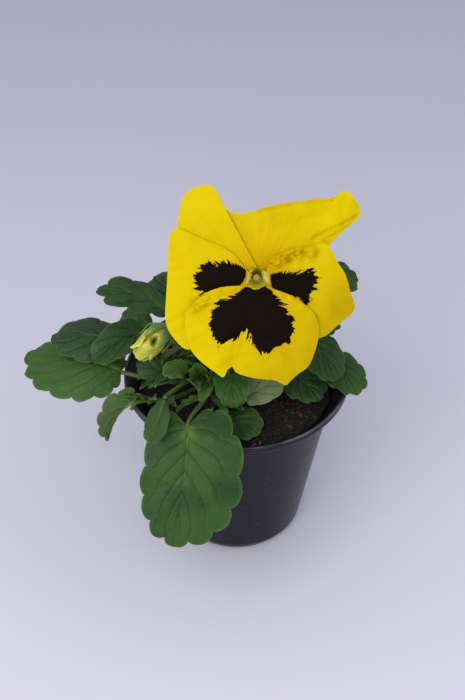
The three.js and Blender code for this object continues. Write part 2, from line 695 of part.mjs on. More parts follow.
function buildFlowerStem() {
  const back = FLOWER.clawDepth - PETAL_THICKNESS / 2 - CLEARANCE;
  const { top, foot, height, sides, sink } = RECEPTACLE;
  const path = [
    [CROWN.x + 0.6, CROWN.y + 1, CROWN.top + CLEARANCE],
    ...STEM.knots,
    onFace(0, 6, back - 9).toArray(),
    onFace(0, 0, back - sink).toArray(),
  ];
  let solid = toSolid(tube(path, STEM.root, STEM.end, STEM));
  const receptacle = new THREE.CylinderGeometry(top, foot, height, sides);
  const upright = new THREE.Vector3(0, 1, 0);
  receptacle.applyQuaternion(new THREE.Quaternion().setFromUnitVectors(upright, faceNormal));
  receptacle.translate(...onFace(0, 0, back - height / 2).toArray());
  solid = solid.add(toSolid(receptacle));
  for (let k = 0; k < SEPALS.count; k++) {
    const turn = Math.PI / 2 + (2 * Math.PI * (k + 0.5)) / SEPALS.count;
    solid = solid.add(sepal(turn, SEPALS.length, SEPALS.half, back - SEPALS.depth));
  }
  return toGeometry(mainBody(solid.subtract(crownSolid(CLEARANCE))));
}

// The style with its rounded stigma, standing in the throat between the claws.
function buildPistil() {
  const { foot, top, stigma: ball, up, out } = PISTIL;
  const ends = [onFace(0, up / 3, FLOWER.clawDepth + 0.2).toArray(), onFace(0, up, out - 0.8).toArray()];
  const style = toSolid(tube(ends, foot, top, { steps: 2 }));
  const stigma = new THREE.SphereGeometry(ball, 8, 6);
  stigma.translate(...onFace(0, up, out).toArray());
  return toGeometry(style.add(toSolid(stigma)));
}

// ---- Bud ----------------------------------------------------------------------------------------

const BUD = {
  seat: [-31.5, -11, 124.5],
  tip: [-43.5, -20.5, 115.5],
  radius: 5.2,
  hollow: 0.42, // depth of the furled mouth, as part of the length
  sides: 18,
};
const BUD_STEM = { root: 1.3, end: 1.15, sides: 6, steps: 10, knots: [[-19, -4, 108], [-27, -5.5, 121]] };
const CALYX = { radius: 1.9, behind: 2.3, neck: 1.5, bend: 6.5 };
const BUD_SEPALS = { count: 5, foot: 6, length: 15.5, half: 2.2, out: 0.75 };

function budFrame() {
  const seat = vec(BUD.seat);
  const axis = vec(BUD.tip).sub(seat);
  const length = axis.length();
  axis.normalize();
  const side = new THREE.Vector3(0, 0, 1).cross(axis).normalize();
  return { seat, axis, length, side, up: new THREE.Vector3().crossVectors(axis, side) };
}

function onBud(frame, along, turn, radius) {
  return frame.seat
    .clone()
    .addScaledVector(frame.axis, along)
    .addScaledVector(frame.side, radius * Math.cos(turn))
    .addScaledVector(frame.up, radius * Math.sin(turn));
}

// Petals still furled round one another: a swelling body with spiral folds and an open mouth.
function buildBudPetals() {
  const frame = budFrame();
  const levels = [
    [0, 0.3], [0.06, 0.52], [0.2, 0.84], [0.4, 1], [0.6, 1.02], [0.8, 0.86], [0.93, 0.66], [1, 0.52],
    [0.97, 0.36], [0.82, 0.38], [1 - BUD.hollow, 0.22],
  ];
  const rows = levels.map(([t, swell]) => {
    const row = [];
    for (let j = 0; j < BUD.sides; j++) {
      const turn = (2 * Math.PI * j) / BUD.sides;
      const fold = 1 + 0.14 * Math.cos(3 * turn - 4 * t) * Math.sin(Math.PI * Math.min(1, t + 0.1));
      const lean = frame.length * t + 1.6 * t * Math.cos(turn - 0.8);
      row.push(onBud(frame, lean, turn, BUD.radius * swell * fold));
    }
    return row;
  });
  return toGeometry(toSolid(skinRows(rows)));
}

function buildBudStem() {
  const frame = budFrame();
  const path = [
    [CROWN.x - 2.6, CROWN.y - 1, CROWN.top + CLEARANCE - 0.1],
    ...BUD_STEM.knots,
    onBud(frame, -CALYX.bend, 0, 0).toArray(),
    onBud(frame, -CALYX.neck, 0, 0).toArray(),
  ];
  let solid = toSolid(tube(path, BUD_STEM.root, BUD_STEM.end, BUD_STEM));
  const calyx = new THREE.SphereGeometry(CALYX.radius, 6, 4);
  calyx.translate(...onBud(frame, -CALYX.behind, 0, 0).toArray());
  solid = solid.add(toSolid(calyx));
  const { count, foot, length, half: broad, out } = BUD_SEPALS;
  const close = 0.9; // radius at which the sepals leave the calyx
  for (let k = 0; k < count; k++) {
    const turn = (2 * Math.PI * (k + 0.25)) / count;
    const surface = (u, w) => {
      const along = length * u - foot;
      const swell = THREE.MathUtils.smoothstep(along, -2.5, 4.5);
      const radius = close + (BUD.radius * 1.14 + out - close) * swell + Math.max(0, -3 - along) * 0.5;
      const half = broad * Math.sin(Math.PI * (0.14 + 0.83 * u)) ** 0.8 + 0.15;
      return onBud(frame, along, turn + (half * (2 * w - 1)) / Math.max(radius, 2.4), radius);
    };
    solid = solid.add(toSolid(sheet(5, 2, PETAL_THICKNESS, surface)));
  }
  return toGeometry(mainBody(solid.subtract(crownSolid(CLEARANCE * 0.9))));
}

// ---- Assembly -----------------------------------------------------------------------------------

const group = new THREE.Group();

function addPiece(name, geometry, material) {
  const mesh = new THREE.Mesh(geometry, material);
  mesh.name = name;
  group.add(mesh);
}

addPiece("pot", buildPot(), COLOURS.pot());
addPiece("compost", buildCompost(), COLOURS.compost());
addPiece("crown", toGeometry(crownSolid(0)), COLOURS.crown());
for (const leaf of LEAVES) addPiece(leaf.name, buildLeaf(leaf), COLOURS[leaf.tone]());
addPiece("flower_stem", buildFlowerStem(), COLOURS.stem());
for (const petal of PETALS) addPiece(petal.name, buildPetal(petal), COLOURS.petal());
addPiece("pistil", buildPistil(), COLOURS.pistil());
addPiece("bud_stem", buildBudStem(), COLOURS.stem());
addPiece("bud_petals", buildBudPetals(), COLOURS.bud());

export default group;
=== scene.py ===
"""Looks of a potted pansy: a yellow flower, a furled bud and a rosette of leaves in a nursery pot.

Every piece is made by mesh code in millimetres in the CAD frame and becomes metres only when it is
turned into an object. Patterns such as veins and blotches are drawn by shaders from values that the
mesh code stores at each point, so they follow the petals and the blades.
"""

import json
import logging
import math
from dataclasses import dataclass, field
from enum import Enum
from typing import Any, Callable, Sequence

import bmesh
import bpy
import numpy as np
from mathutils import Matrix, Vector

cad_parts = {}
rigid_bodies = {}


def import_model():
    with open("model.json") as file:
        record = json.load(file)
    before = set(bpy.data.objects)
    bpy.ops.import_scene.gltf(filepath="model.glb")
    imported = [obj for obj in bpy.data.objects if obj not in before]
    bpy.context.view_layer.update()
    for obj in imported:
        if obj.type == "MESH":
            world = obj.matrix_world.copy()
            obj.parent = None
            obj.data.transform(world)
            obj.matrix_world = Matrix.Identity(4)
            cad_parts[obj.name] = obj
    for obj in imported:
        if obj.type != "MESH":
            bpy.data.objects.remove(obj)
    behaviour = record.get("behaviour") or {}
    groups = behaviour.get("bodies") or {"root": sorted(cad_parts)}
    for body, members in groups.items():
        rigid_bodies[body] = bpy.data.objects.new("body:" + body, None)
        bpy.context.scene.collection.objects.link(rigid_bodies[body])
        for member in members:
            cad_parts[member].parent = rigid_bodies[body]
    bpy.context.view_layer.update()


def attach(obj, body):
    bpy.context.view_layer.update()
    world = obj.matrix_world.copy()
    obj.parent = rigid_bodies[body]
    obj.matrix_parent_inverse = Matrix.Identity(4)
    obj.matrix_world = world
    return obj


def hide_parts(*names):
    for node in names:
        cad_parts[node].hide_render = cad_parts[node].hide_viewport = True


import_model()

log = logging.getLogger("pansy")
Array = np.ndarray
Point = tuple[float, float, float]
Flat = tuple[float, float]
Colour = tuple[float, float, float, float]
Sockets = dict[str, bpy.types.NodeSocket]

MM = 0.001


# ---- Mesh code ----


@dataclass
class Skin:
    """Closed mesh shells in millimetres, with one value per point for each named mark.

    Attributes:
        points: An (n, 3) array.
        quads: Four-cornered faces as an (m, 4) array of point numbers.
        tris: Three-cornered faces as a (k, 3) array of point numbers.
        marks: Values per point that the shaders read, such as the distance along a blade.
    """

    points: Array
    quads: Array
    tris: Array = field(default_factory=lambda: np.zeros((0, 3), int))
    marks: dict[str, Array] = field(default_factory=dict)

    def outward(self) -> "Skin":
        """Turns every face outward, judged by the sign of the enclosed volume.

        Returns:
            The same skin, so that calls can be chained.
        """
        p = self.points
        fans = [self.tris, self.quads[:, [0, 1, 2]], self.quads[:, [0, 2, 3]]]
        t = np.concatenate([f for f in fans if len(f)])
        volume = np.einsum("ij,ij->i", p[t[:, 0]], np.cross(p[t[:, 1]], p[t[:, 2]])).sum()
        if volume < 0:
            self.quads = self.quads[:, ::-1].copy()
            self.tris = self.tris[:, ::-1].copy()
        return self

    def marked(self, **values: float) -> "Skin":
        """Sets marks that are the same all over this skin.

        Args:
            **values: The value of each mark.

        Returns:
            The same skin.
        """
        for name, value in values.items():
            self.marks[name] = np.full(len(self.points), float(value))
        return self


def joined(skins: Sequence[Skin]) -> Skin:
    """Puts several skins into one; a mark that a skin lacks is 0 on it.

    Args:
        skins: The skins, in order.

    Returns:
        One skin with all their points and faces.
    """
    names = sorted({name for s in skins for name in s.marks})
    starts = np.cumsum([0] + [len(s.points) for s in skins[:-1]])
    return Skin(
        np.concatenate([s.points for s in skins]),
        np.concatenate([s.quads + k for s, k in zip(skins, starts)]),
        np.concatenate([s.tris + k for s, k in zip(skins, starts)]),
        {n: np.concatenate([s.marks.get(n, np.zeros(len(s.points))) for s in skins]) for n in names},
    )


def unit(vectors: Array) -> Array:
    """Scales vectors to length 1.

    Args:
        vectors: An (..., 3) array.

    Returns:
        The unit vectors; a zero vector stays zero.
    """
    return vectors / np.maximum(np.linalg.norm(vectors, axis=-1, keepdims=True), 1e-12)


def smoothstep(value: Array, low: float, high: float) -> Array:
    """Rises smoothly from 0 at low to 1 at high.

    Args:
        value: What is compared with the two ends.
        low: Where the result leaves 0.
        high: Where the result reaches 1.

    Returns:
        Values from 0 to 1.
    """
    t = np.clip((value - low) / (high - low), 0, 1)
    return t * t * (3 - 2 * t)


def around(count: int) -> Array:
    """Spreads angles evenly round a circle.

    Args:
        count: How many.

    Returns:
        The angles, from 0 up.
    """
    return 2 * np.pi * np.arange(count) / count


def shares(rows: int, columns: int) -> tuple[Array, Array]:
    """Spreads shares over a grid.

    Args:
        rows: How many go from 0 to 1 along.
        columns: How many go from -1 to 1 across.

    Returns:
        The shares along, as a column, and the shares across, as a row.
    """
    return np.linspace(0, 1, rows)[:, None], np.linspace(-1, 1, columns)[None, :]


def spline(points: Sequence[Sequence[float]], per_span: int) -> Array:
    """Follows an open centripetal Catmull-Rom curve through the points.

    Args:
        points: At least two points of any dimension.
        per_span: Samples between one point and the next.

    Returns:
        The samples, from the first point to the last, both included.
    """
    p = np.array(points, float)
    p = np.vstack([2 * p[0] - p[1], p, 2 * p[-1] - p[-2]])
    samples = []
    for i in range(1, len(p) - 2):
        a, b, c, d = p[i - 1 : i + 3]
        t1, t2, t3 = (max(np.linalg.norm(q - r), 1e-9) ** 0.5 for q, r in ((b, a), (c, b), (d, c)))
        start = t2 * ((b - a) / t1 - (c - a) / (t1 + t2) + (c - b) / t2)
        end = t2 * ((c - b) / t2 - (d - b) / (t2 + t3) + (d - c) / t3)
        for t in np.arange(per_span) / per_span:
            samples.append(
                b + start * t + (3 * (c - b) - 2 * start - end) * t * t + (2 * (b - c) + start + end) * t**3
            )
    samples.append(p[-2])
    return np.array(samples)


def grid_quads(rows: int, columns: int, wrap: bool) -> Array:
    """Numbers the cells of a grid of points.

    Args:
        rows: Rows of points.
        columns: Points in each row.
        wrap: Whether each row closes on itself.

    Returns:
        An (m, 4) array of point numbers.
    """
    i = np.arange(rows - 1)[:, None]
    j = np.arange(columns if wrap else columns - 1)[None, :]
    k = (j + 1) % columns
    corners = [i * columns + j, i * columns + k, (i + 1) * columns + k, (i + 1) * columns + j]
    return np.stack([np.broadcast_to(c, (rows - 1, j.size)) for c in corners], -1).reshape(-1, 4)


def capped(rows: Array, marks: dict[str, Array] | None = None) -> Skin:
    """Skins rows of points that close on themselves and caps both ends.

    Args:
        rows: An (r, c, 3) array, one ring of points per row.
        marks: One (r, c) array per mark.

    Returns:
        The closed skin.
    """
    count, width = rows.shape[:2]
    points = np.concatenate([rows.reshape(-1, 3), [rows[0].mean(0)], [rows[-1].mean(0)]])
    j = np.arange(width)
    k = (j + 1) % width
    last = (count - 1) * width
    first_cap = np.stack([k, j, np.full(width, count * width)], -1)
    last_cap = np.stack([last + j, last + k, np.full(width, count * width + 1)], -1)
    values = {}
    for name, mark in (marks or {}).items():
        values[name] = np.concatenate([mark.ravel(), [mark[0].mean()], [mark[-1].mean()]])
    caps = np.concatenate([first_cap, last_cap])
    return Skin(points, grid_quads(count, width, True), caps, values).outward()


def tube(path: Array, radii: Array, sides: int = 12, marks: dict[str, float] | None = None) -> Skin:
    """Sweeps a round section along a path, with rounded ends.

    Args:
        path: An (n, 3) array of centres.
        radii: The radius at each centre.
        sides: Corners of the section.
        marks: Marks that are the same along the whole tube.

    Returns:
        The closed skin.
    """
    tangents = unit(np.gradient(path, axis=0))
    normal = unit(np.cross(tangents[0], (0.3, 0.2, 0.93)))
    turns = around(sides)
    rows = []
    for centre, tangent, radius in zip(path, tangents, radii):
        normal = unit(normal - tangent * (normal @ tangent))
        across = np.cross(tangent, normal)
        ring = np.cos(turns)[:, None] * normal + np.sin(turns)[:, None] * across
        rows.append(centre + radius * ring)
    ends = []
    for row, centre, way, radius in (
        (rows[0], path[0], -tangents[0], radii[0]),
        (rows[-1], path[-1], tangents[-1], radii[-1]),
    ):
        ends.append(centre + (row - centre) * 0.6 + way * radius * 0.5)
    skin = capped(np.array([ends[0], *rows, ends[1]]))
    return skin.marked(**marks) if marks else skin


def sheet(
    middle: Array, half: Array, marks: dict[str, Array], top: Sequence[float], ridge: Array | float = 0.0
) -> Skin:
    """Makes a thin closed sheet round a middle surface.

    Args:
        middle: An (r, c, 3) array of points of the middle surface.
        half: Half the thickness at each point.
        marks: One (r, c) array per mark; both faces take the same values.
        top: The way that the upper side looks, on the whole.
        ridge: Extra thickness on the under side, as of a rib.

    Returns:
        The closed skin. The mark "under" is 1 on the under side.
    """
    rows, columns = middle.shape[:2]
    normals = unit(np.cross(np.gradient(middle, axis=0), np.gradient(middle, axis=1)))
    if normals.sum((0, 1)) @ np.array(top, float) < 0:
        normals = -normals
    over = middle + normals * half[..., None]
    under = middle - normals * (half + ridge)[..., None]
    points = np.concatenate([over.reshape(-1, 3), under.reshape(-1, 3)])
    face = grid_quads(rows, columns, False)
    shift = rows * columns
    grid = np.arange(shift).reshape(rows, columns)
    rim = np.concatenate([grid[0], grid[1:, -1], grid[-1, ::-1][1:], grid[::-1, 0][1:-1]])
    following = np.roll(rim, -1)
    walls = np.stack([following, rim, rim + shift, following + shift], -1)
    values = {name: np.tile(mark.ravel(), 2) for name, mark in marks.items()}
    values["under"] = np.repeat([0.0, 1.0], shift)
    return Skin(points, np.concatenate([face, face[:, ::-1] + shift, walls]), marks=values).outward()


class Grain:
    """Smooth repeatable noise made of plane waves in random directions."""

    def __init__(self, seed: int, wavelength: float, octaves: int = 3) -> None:
        """Draws the waves.

        Args:
            seed: Chooses the pattern.
            wavelength: Length of the longest wave, in millimetres.
            octaves: Each further octave is half as long and half as high.
        """
        rng = np.random.default_rng(seed)
        self.waves: list[tuple[float, Array, float]] = []
        for octave in range(octaves):
            for _ in range(6):
                way = unit(rng.normal(size=3)) * 2 * np.pi / (wavelength / 2**octave)
                self.waves.append((0.5**octave / 2.4, way, rng.uniform(0, 2 * np.pi)))

    def __call__(self, points: Array) -> Array:
        """Reads the noise."""
        return sum(height * np.sin(points @ way + phase) for height, way, phase in self.waves)


def lumps(centres: Array, radii: Array, seed: int) -> Skin:
    """Makes many small irregular lumps.

    Args:
        centres: An (n, 3) array.
        radii: The mean radius of each lump.
        seed: Chooses their shapes.

    Returns:
        One skin that holds all the lumps.
    """
    rng = np.random.default_rng(seed)
    sides, levels = 7, 4
    turns = around(sides)
    skins = []
    for centre, radius in zip(centres, radii):
        tilt = np.pi * (np.arange(levels) + 0.7) / (levels + 0.4)
        ring = np.stack(
            [
                np.sin(tilt)[:, None] * np.cos(turns)[None, :],
                np.sin(tilt)[:, None] * np.sin(turns)[None, :],
                np.cos(tilt)[:, None] * np.ones(sides)[None, :],
            ],
            -1,
        )
        ring *= 1 + rng.uniform(-0.28, 0.28, ring.shape[:2])[..., None]
        axes = np.linalg.qr(rng.normal(size=(3, 3)))[0] * rng.uniform(0.55, 1.3, 3)
        skins.append(capped(centre + radius * ring @ axes).marked(tone=rng.uniform()))
    return joined(skins)


# ---- Shader graphs ----


class Graph:
    """Adds nodes to one node tree and joins them."""

    def __init__(self, tree: bpy.types.NodeTree) -> None:
        """Wraps a tree."""
        self.tree = tree

    def feed(self, socket: bpy.types.NodeSocket, value: Any) -> None:
        """Links a socket to an input, or sets the input's own constant.

        Args:
            socket: The input.
            value: Another node's output, or a constant.
        """
        if isinstance(value, bpy.types.NodeSocket):
            self.tree.links.new(value, socket)
        else:
            socket.default_value = value

    def add(self, kind: str, inputs: dict[str | int, Any] | None = None, **settings: Any) -> bpy.types.Node:
        """Adds a node.

        Args:
            kind: The node's type.
            inputs: What goes into its sockets, by name or number.
            **settings: Its own settings.

        Returns:
            The node.
        """
        node = self.tree.nodes.new(kind)
        for name, value in settings.items():
            setattr(node, name, value)
        for name, value in (inputs or {}).items():
            self.feed(node.inputs[name], value)
        return node

    def math(self, operation: str, *values: Any) -> bpy.types.NodeSocket:
        """Calculates one number."""
        return self.add("ShaderNodeMath", dict(enumerate(values)), operation=operation).outputs[0]

    def times(self, a: Any, b: Any) -> bpy.types.NodeSocket:
        """Multiplies two numbers."""
        return self.math("MULTIPLY", a, b)

    def inverse(self, value: Any) -> bpy.types.NodeSocket:
        """Turns a share into what is left of 1."""
        return self.math("SUBTRACT", 1.0, value)

    def step(self, value: Any, low: float, high: float) -> bpy.types.NodeSocket:
        """Rises smoothly from 0 at low to 1 at high."""
        inputs = {"Value": value, "From Min": low, "From Max": high}
        return self.add("ShaderNodeMapRange", inputs, interpolation_type="SMOOTHSTEP").outputs[0]

    def mix(self, factor: Any, a: Any, b: Any) -> bpy.types.NodeSocket:
        """Blends two colours."""
        return self.add("ShaderNodeMix", {0: factor, 6: a, 7: b}, data_type="RGBA").outputs[2]

    def layered(self, base: Any, layers: Sequence[tuple[Any, Any]]) -> bpy.types.NodeSocket:
        """Lays tones over a base.

        Args:
            base: The first colour.
            layers: The share and the colour of each further layer, in order.

        Returns:
            The colour of them all.
        """
        for share, tone in layers:
            base = self.mix(share, base, tone)
        return base

    def noise(self, vector: Any, scale: float, detail: float = 3.0) -> bpy.types.NodeSocket:
        """Reads noise at a place."""
        return self.add("ShaderNodeTexNoise", {"Vector": vector, "Scale": scale, "Detail": detail}).outputs[0]

    def mark(self, name: str) -> bpy.types.NodeSocket:
        """Reads a value that the mesh code stored at each point."""
        return self.add("ShaderNodeAttribute", attribute_name=name).outputs["Fac"]

    def use(self, tree: bpy.types.NodeTree, **inputs: Any) -> Sockets:
        """Adds a shared effect.

        Args:
            tree: The effect's node group.
            **inputs: What goes into it.

        Returns:
            Its outputs by name.
        """
        node = self.add("ShaderNodeGroup", node_tree=tree)
        for name, value in inputs.items():
            self.feed(node.inputs[name], value)
        return {socket.name: socket for socket in node.outputs}


class Effect:
    """A shared effect as a node group; it gives out values and masks only."""

    made: dict[str, bpy.types.NodeTree] = {}

    @classmethod
    def group(
        cls,
        name: str,
        inputs: dict[str, float],
        outputs: Sequence[str],
        fill: Callable[[Graph, Sockets], Sequence[Any]],
    ) -> bpy.types.NodeTree:
        """Makes an effect's group the first time it is asked for.

        Args:
            name: The group's name.
            inputs: Its inputs with their default values.
            outputs: Its outputs.
            fill: Adds the nodes and returns one socket per output.

        Returns:
            The group.
        """
        if name in cls.made:
            return cls.made[name]
        tree = bpy.data.node_groups.new(name, "ShaderNodeTree")
        for label, value in inputs.items():
            socket = tree.interface.new_socket(label, in_out="INPUT", socket_type="NodeSocketFloat")
            socket.default_value = value
        for label in outputs:
            tree.interface.new_socket(label, in_out="OUTPUT", socket_type="NodeSocketFloat")
        graph = Graph(tree)
        source = graph.add("NodeGroupInput")
        sink = graph.add("NodeGroupOutput")
        results = fill(graph, {s.name: s for s in source.outputs if s.name})
        for label, result in zip(outputs, results):
            graph.feed(sink.inputs[label], result)
        cls.made[name] = tree
        return tree

    @classmethod
    def mottle(cls) -> bpy.types.NodeTree:
        """Broad and fine unevenness in object space.

        Returns:
            The group, with the outputs Broad and Fine.
        """

        def fill(graph: Graph, sockets: Sockets) -> Sequence[Any]:
            """Adds the nodes."""
            place = graph.add("ShaderNodeTexCoord").outputs["Object"]
            size = graph.add("ShaderNodeVectorMath", {0: place}, operation="SCALE")
            graph.feed(size.inputs["Scale"], sockets["Scale"])
            broad = graph.noise(size.outputs[0], 1.0, 2.0)
            fine = graph.noise(size.outputs[0], 9.0, 4.0)
            return graph.step(broad, 0.35, 0.65), graph.step(fine, 0.3, 0.7)

        return cls.group("Mottle", {"Scale": 60.0}, ["Broad", "Fine"], fill)

    @classmethod
    def veins(cls) -> bpy.types.NodeTree:
        """Side veins and a midrib from stored values, and the fine net between them.

        Returns:
            The group, with the outputs Vein, Midrib, Net and Height.
        """

        def fill(graph: Graph, sockets: Sockets) -> Sequence[Any]:
            """Adds the nodes."""
            place = graph.add("ShaderNodeTexCoord").outputs["Object"]
            width = graph.math("MULTIPLY_ADD", graph.noise(place, 300.0), 0.5, 0.12)
            part = graph.math("SUBTRACT", graph.math("FRACT", sockets["Phase"]), 0.5)
            side = graph.times(graph.math("ABSOLUTE", part), sockets["Pitch"])
            side = graph.math("MINIMUM", graph.math("DIVIDE", side, width), 1.0)
            side = graph.inverse(graph.times(side, side))
            side = graph.times(side, graph.inverse(graph.step(sockets["Reach"], 0.6, 1.1)))
            rib = graph.inverse(graph.step(sockets["Rib"], 0.12, 0.55))
            between = graph.math("FRACT", graph.times(sockets["Phase"], 3.0))
            between = graph.math("ABSOLUTE", graph.math("SUBTRACT", between, 0.5))
            between = graph.times(graph.times(between, sockets["Pitch"]), 0.333)
            fine = graph.inverse(graph.step(between, 0.04, 0.3))
            vein = graph.math("MAXIMUM", side, rib)
            inputs = {"Vector": place, "Scale": 420.0}
            cells = graph.add("ShaderNodeTexVoronoi", inputs, feature="DISTANCE_TO_EDGE")
            net = graph.inverse(graph.step(cells.outputs["Distance"], 0.0, 0.16))
            net = graph.math("MAXIMUM", net, fine)
            height = graph.math("SUBTRACT", graph.times(net, -0.25), vein)
            return side, rib, net, height

        inputs = {"Phase": 0.0, "Pitch": 9.0, "Rib": 9.0, "Reach": 0.0}
        return cls.group("Veins", inputs, ["Vein", "Midrib", "Net", "Height"], fill)

    @classmethod
    def streaks(cls) -> bpy.types.NodeTree:
        """Fine lines that fan out from the throat of the flower.

        Returns:
            The group, with the outputs Line and Radius.
        """

        def fill(graph: Graph, sockets: Sockets) -> Sequence[Any]:
            """Adds the nodes."""
            turn = graph.math("ARCTAN2", sockets["Y"], sockets["X"])
            square = [graph.times(sockets[k], sockets[k]) for k in ("X", "Y")]
            radius = graph.math("SQRT", graph.math("ADD", *square))
            fan = {0: graph.times(turn, 13.0), 1: graph.times(radius, 0.07)}
            line = graph.noise(graph.add("ShaderNodeCombineXYZ", fan).outputs[0], 1.0, 5.0)
            return graph.step(line, 0.34, 0.66), radius

        return cls.group("Streaks", {"X": 0.0, "Y": 0.0}, ["Line", "Radius"], fill)

    @classmethod
    def blotch(cls) -> bpy.types.NodeTree:
        """The flamed edge of the dark face, from a stored distance to its outline.

        Returns:
            The group, with the outputs Mask and Rim.
        """

        def fill(graph: Graph, sockets: Sockets) -> Sequence[Any]:
            """Adds the nodes."""
            turn, out = graph.times(sockets["Turn"], 9.0), graph.times(sockets["Radius"], 0.16)
            place = graph.add("ShaderNodeCombineXYZ", {0: turn, 1: out}).outputs[0]
            inputs = {"Vector": place, "Scale": 1.0, "Detail": 2.5, "Roughness": 0.7}
            flame = graph.add("ShaderNodeTexNoise", inputs, noise_dimensions="2D")
            swing = graph.times(graph.math("SUBTRACT", flame.outputs[0], 0.5), sockets["Fringe"])
            edge = graph.math("ADD", sockets["Distance"], swing)
            return graph.step(edge, -0.12, 0.16), graph.step(edge, -1.3, 0.3)

        inputs = {"Distance": -9.0, "Turn": 0.0, "Radius": 20.0, "Fringe": 9.0}
        return cls.group("Blotch", inputs, ["Mask", "Rim"], fill)


def new_material(name: str) -> tuple[bpy.types.Material, Graph, bpy.types.Node]:
    """Starts a material with one Principled BSDF.

    Args:
        name: The material's name.

    Returns:
        The material, its graph and its BSDF node.
    """
    material = bpy.data.materials.new(name)
    material.use_nodes = True
    graph = Graph(material.node_tree)
    return material, graph, material.node_tree.nodes["Principled BSDF"]


def dent(graph: Graph, shader: bpy.types.Node, height: Any, depth: float) -> None:
    """Adds relief too fine for the mesh.

    Args:
        graph: The material's graph.
        shader: The BSDF that takes the normal.
        height: The relief.
        depth: Metres from 0 to 1 of the relief.
    """
    bump = graph.add("ShaderNodeBump", {"Height": height, "Distance": depth, "Strength": 1.0})
    graph.feed(shader.inputs["Normal"], bump.outputs[0])


def vary(shader: bpy.types.Node, name: str, graph: Graph, mask: Any, swing: float, base: float) -> None:
    """Lets a mask vary one of a shader's inputs.

    Args:
        shader: The BSDF.
        name: The input.
        graph: The material's graph.
        mask: What varies it.
        swing: What a mask of 1 adds.
        base: The input's value where the mask is 0.
    """
    graph.feed(shader.inputs[name], graph.math("MULTIPLY_ADD", mask, swing, base))


class Tone(Enum):
    """The three kinds of leaf, each with a finish of its own."""

    MATURE = "leaf_green"
    YOUNG = "leaf_young"
    PALE = "leaf_pale"


@dataclass(frozen=True)
class Foliage:
    """Finish of a leaf: mottled green, paler veins, a lighter foot and a paler under side, with painted shade
    in the vein valleys of the upper side and a painted bluish sheen and shade on the dark leaves.
    """

    name: str
    dark: Colour
    light: Colour
    vein: Colour
    under: Colour
    foot: Colour
    # deep: painted shade in the valleys of the side veins on the upper side.
    deep: Colour = (0.006, 0.024, 0.005, 1)
    fresh: Colour = (0.045, 0.12, 0.018, 1)
    # Painted bluish sky sheen and shade, laid on leaves whose tint is below 0.
    painted_sheen_and_shade: Colour = (0.014, 0.036, 0.018, 1)
    roughness: float = 0.5
    sheen: float = 0.24
    mottling: float = 55.0
    relief: float = 0.00016

    def material(self) -> bpy.types.Material:
        """Builds the finish.

        Returns:
            The material.
        """
        material, graph, shader = new_material(self.name)
        marks = {name.title(): graph.mark(name) for name in ("phase", "pitch", "rib", "reach")}
        veins = graph.use(Effect.veins(), **marks)
        mottle = graph.use(Effect.mottle(), Scale=self.mottling)
        vein = veins["Vein"]
        under, tint, along = graph.mark("under"), graph.mark("tint"), graph.mark("along")
        pale = graph.math("SUBTRACT", 0.65, graph.step(along, 0.0, 0.9))
        layers = [
            (graph.times(graph.step(tint, 0.0, 1.0), 0.75), self.fresh),
            # Painted sheen and shade: leaves with a tint below 0 turn bluish dark.
            (graph.times(graph.step(tint, 0.0, -1.0), 0.7), self.painted_sheen_and_shade),
            (graph.times(veins["Net"], 0.2), self.light),
            (graph.times(graph.step(along, 0.3, 0.8), 0.2), self.fresh),
            (graph.times(under, 0.75), self.under),
            # Painted shade: side veins on the upper side darken toward deep.
            (graph.times(graph.times(vein, graph.inverse(under)), 0.15), self.deep),
            (graph.times(graph.times(vein, under), 0.4), self.vein),
            (graph.times(veins["Midrib"], pale), self.vein),
            (graph.times(graph.step(graph.mark("reach"), 0.93, 1.0), 0.3), self.vein),
            (graph.times(graph.mark("foot"), 0.8), self.foot),
        ]
        colour = graph.layered(graph.mix(mottle["Broad"], self.dark, self.light), layers)
        graph.feed(shader.inputs["Base Color"], colour)
        vary(shader, "Roughness", graph, mottle["Fine"], 0.14, self.roughness - 0.07)
        shader.inputs["Specular IOR Level"].default_value = self.sheen
        dent(graph, shader, graph.math("MULTIPLY_ADD", mottle["Fine"], 0.2, veins["Height"]), self.relief)
        return material


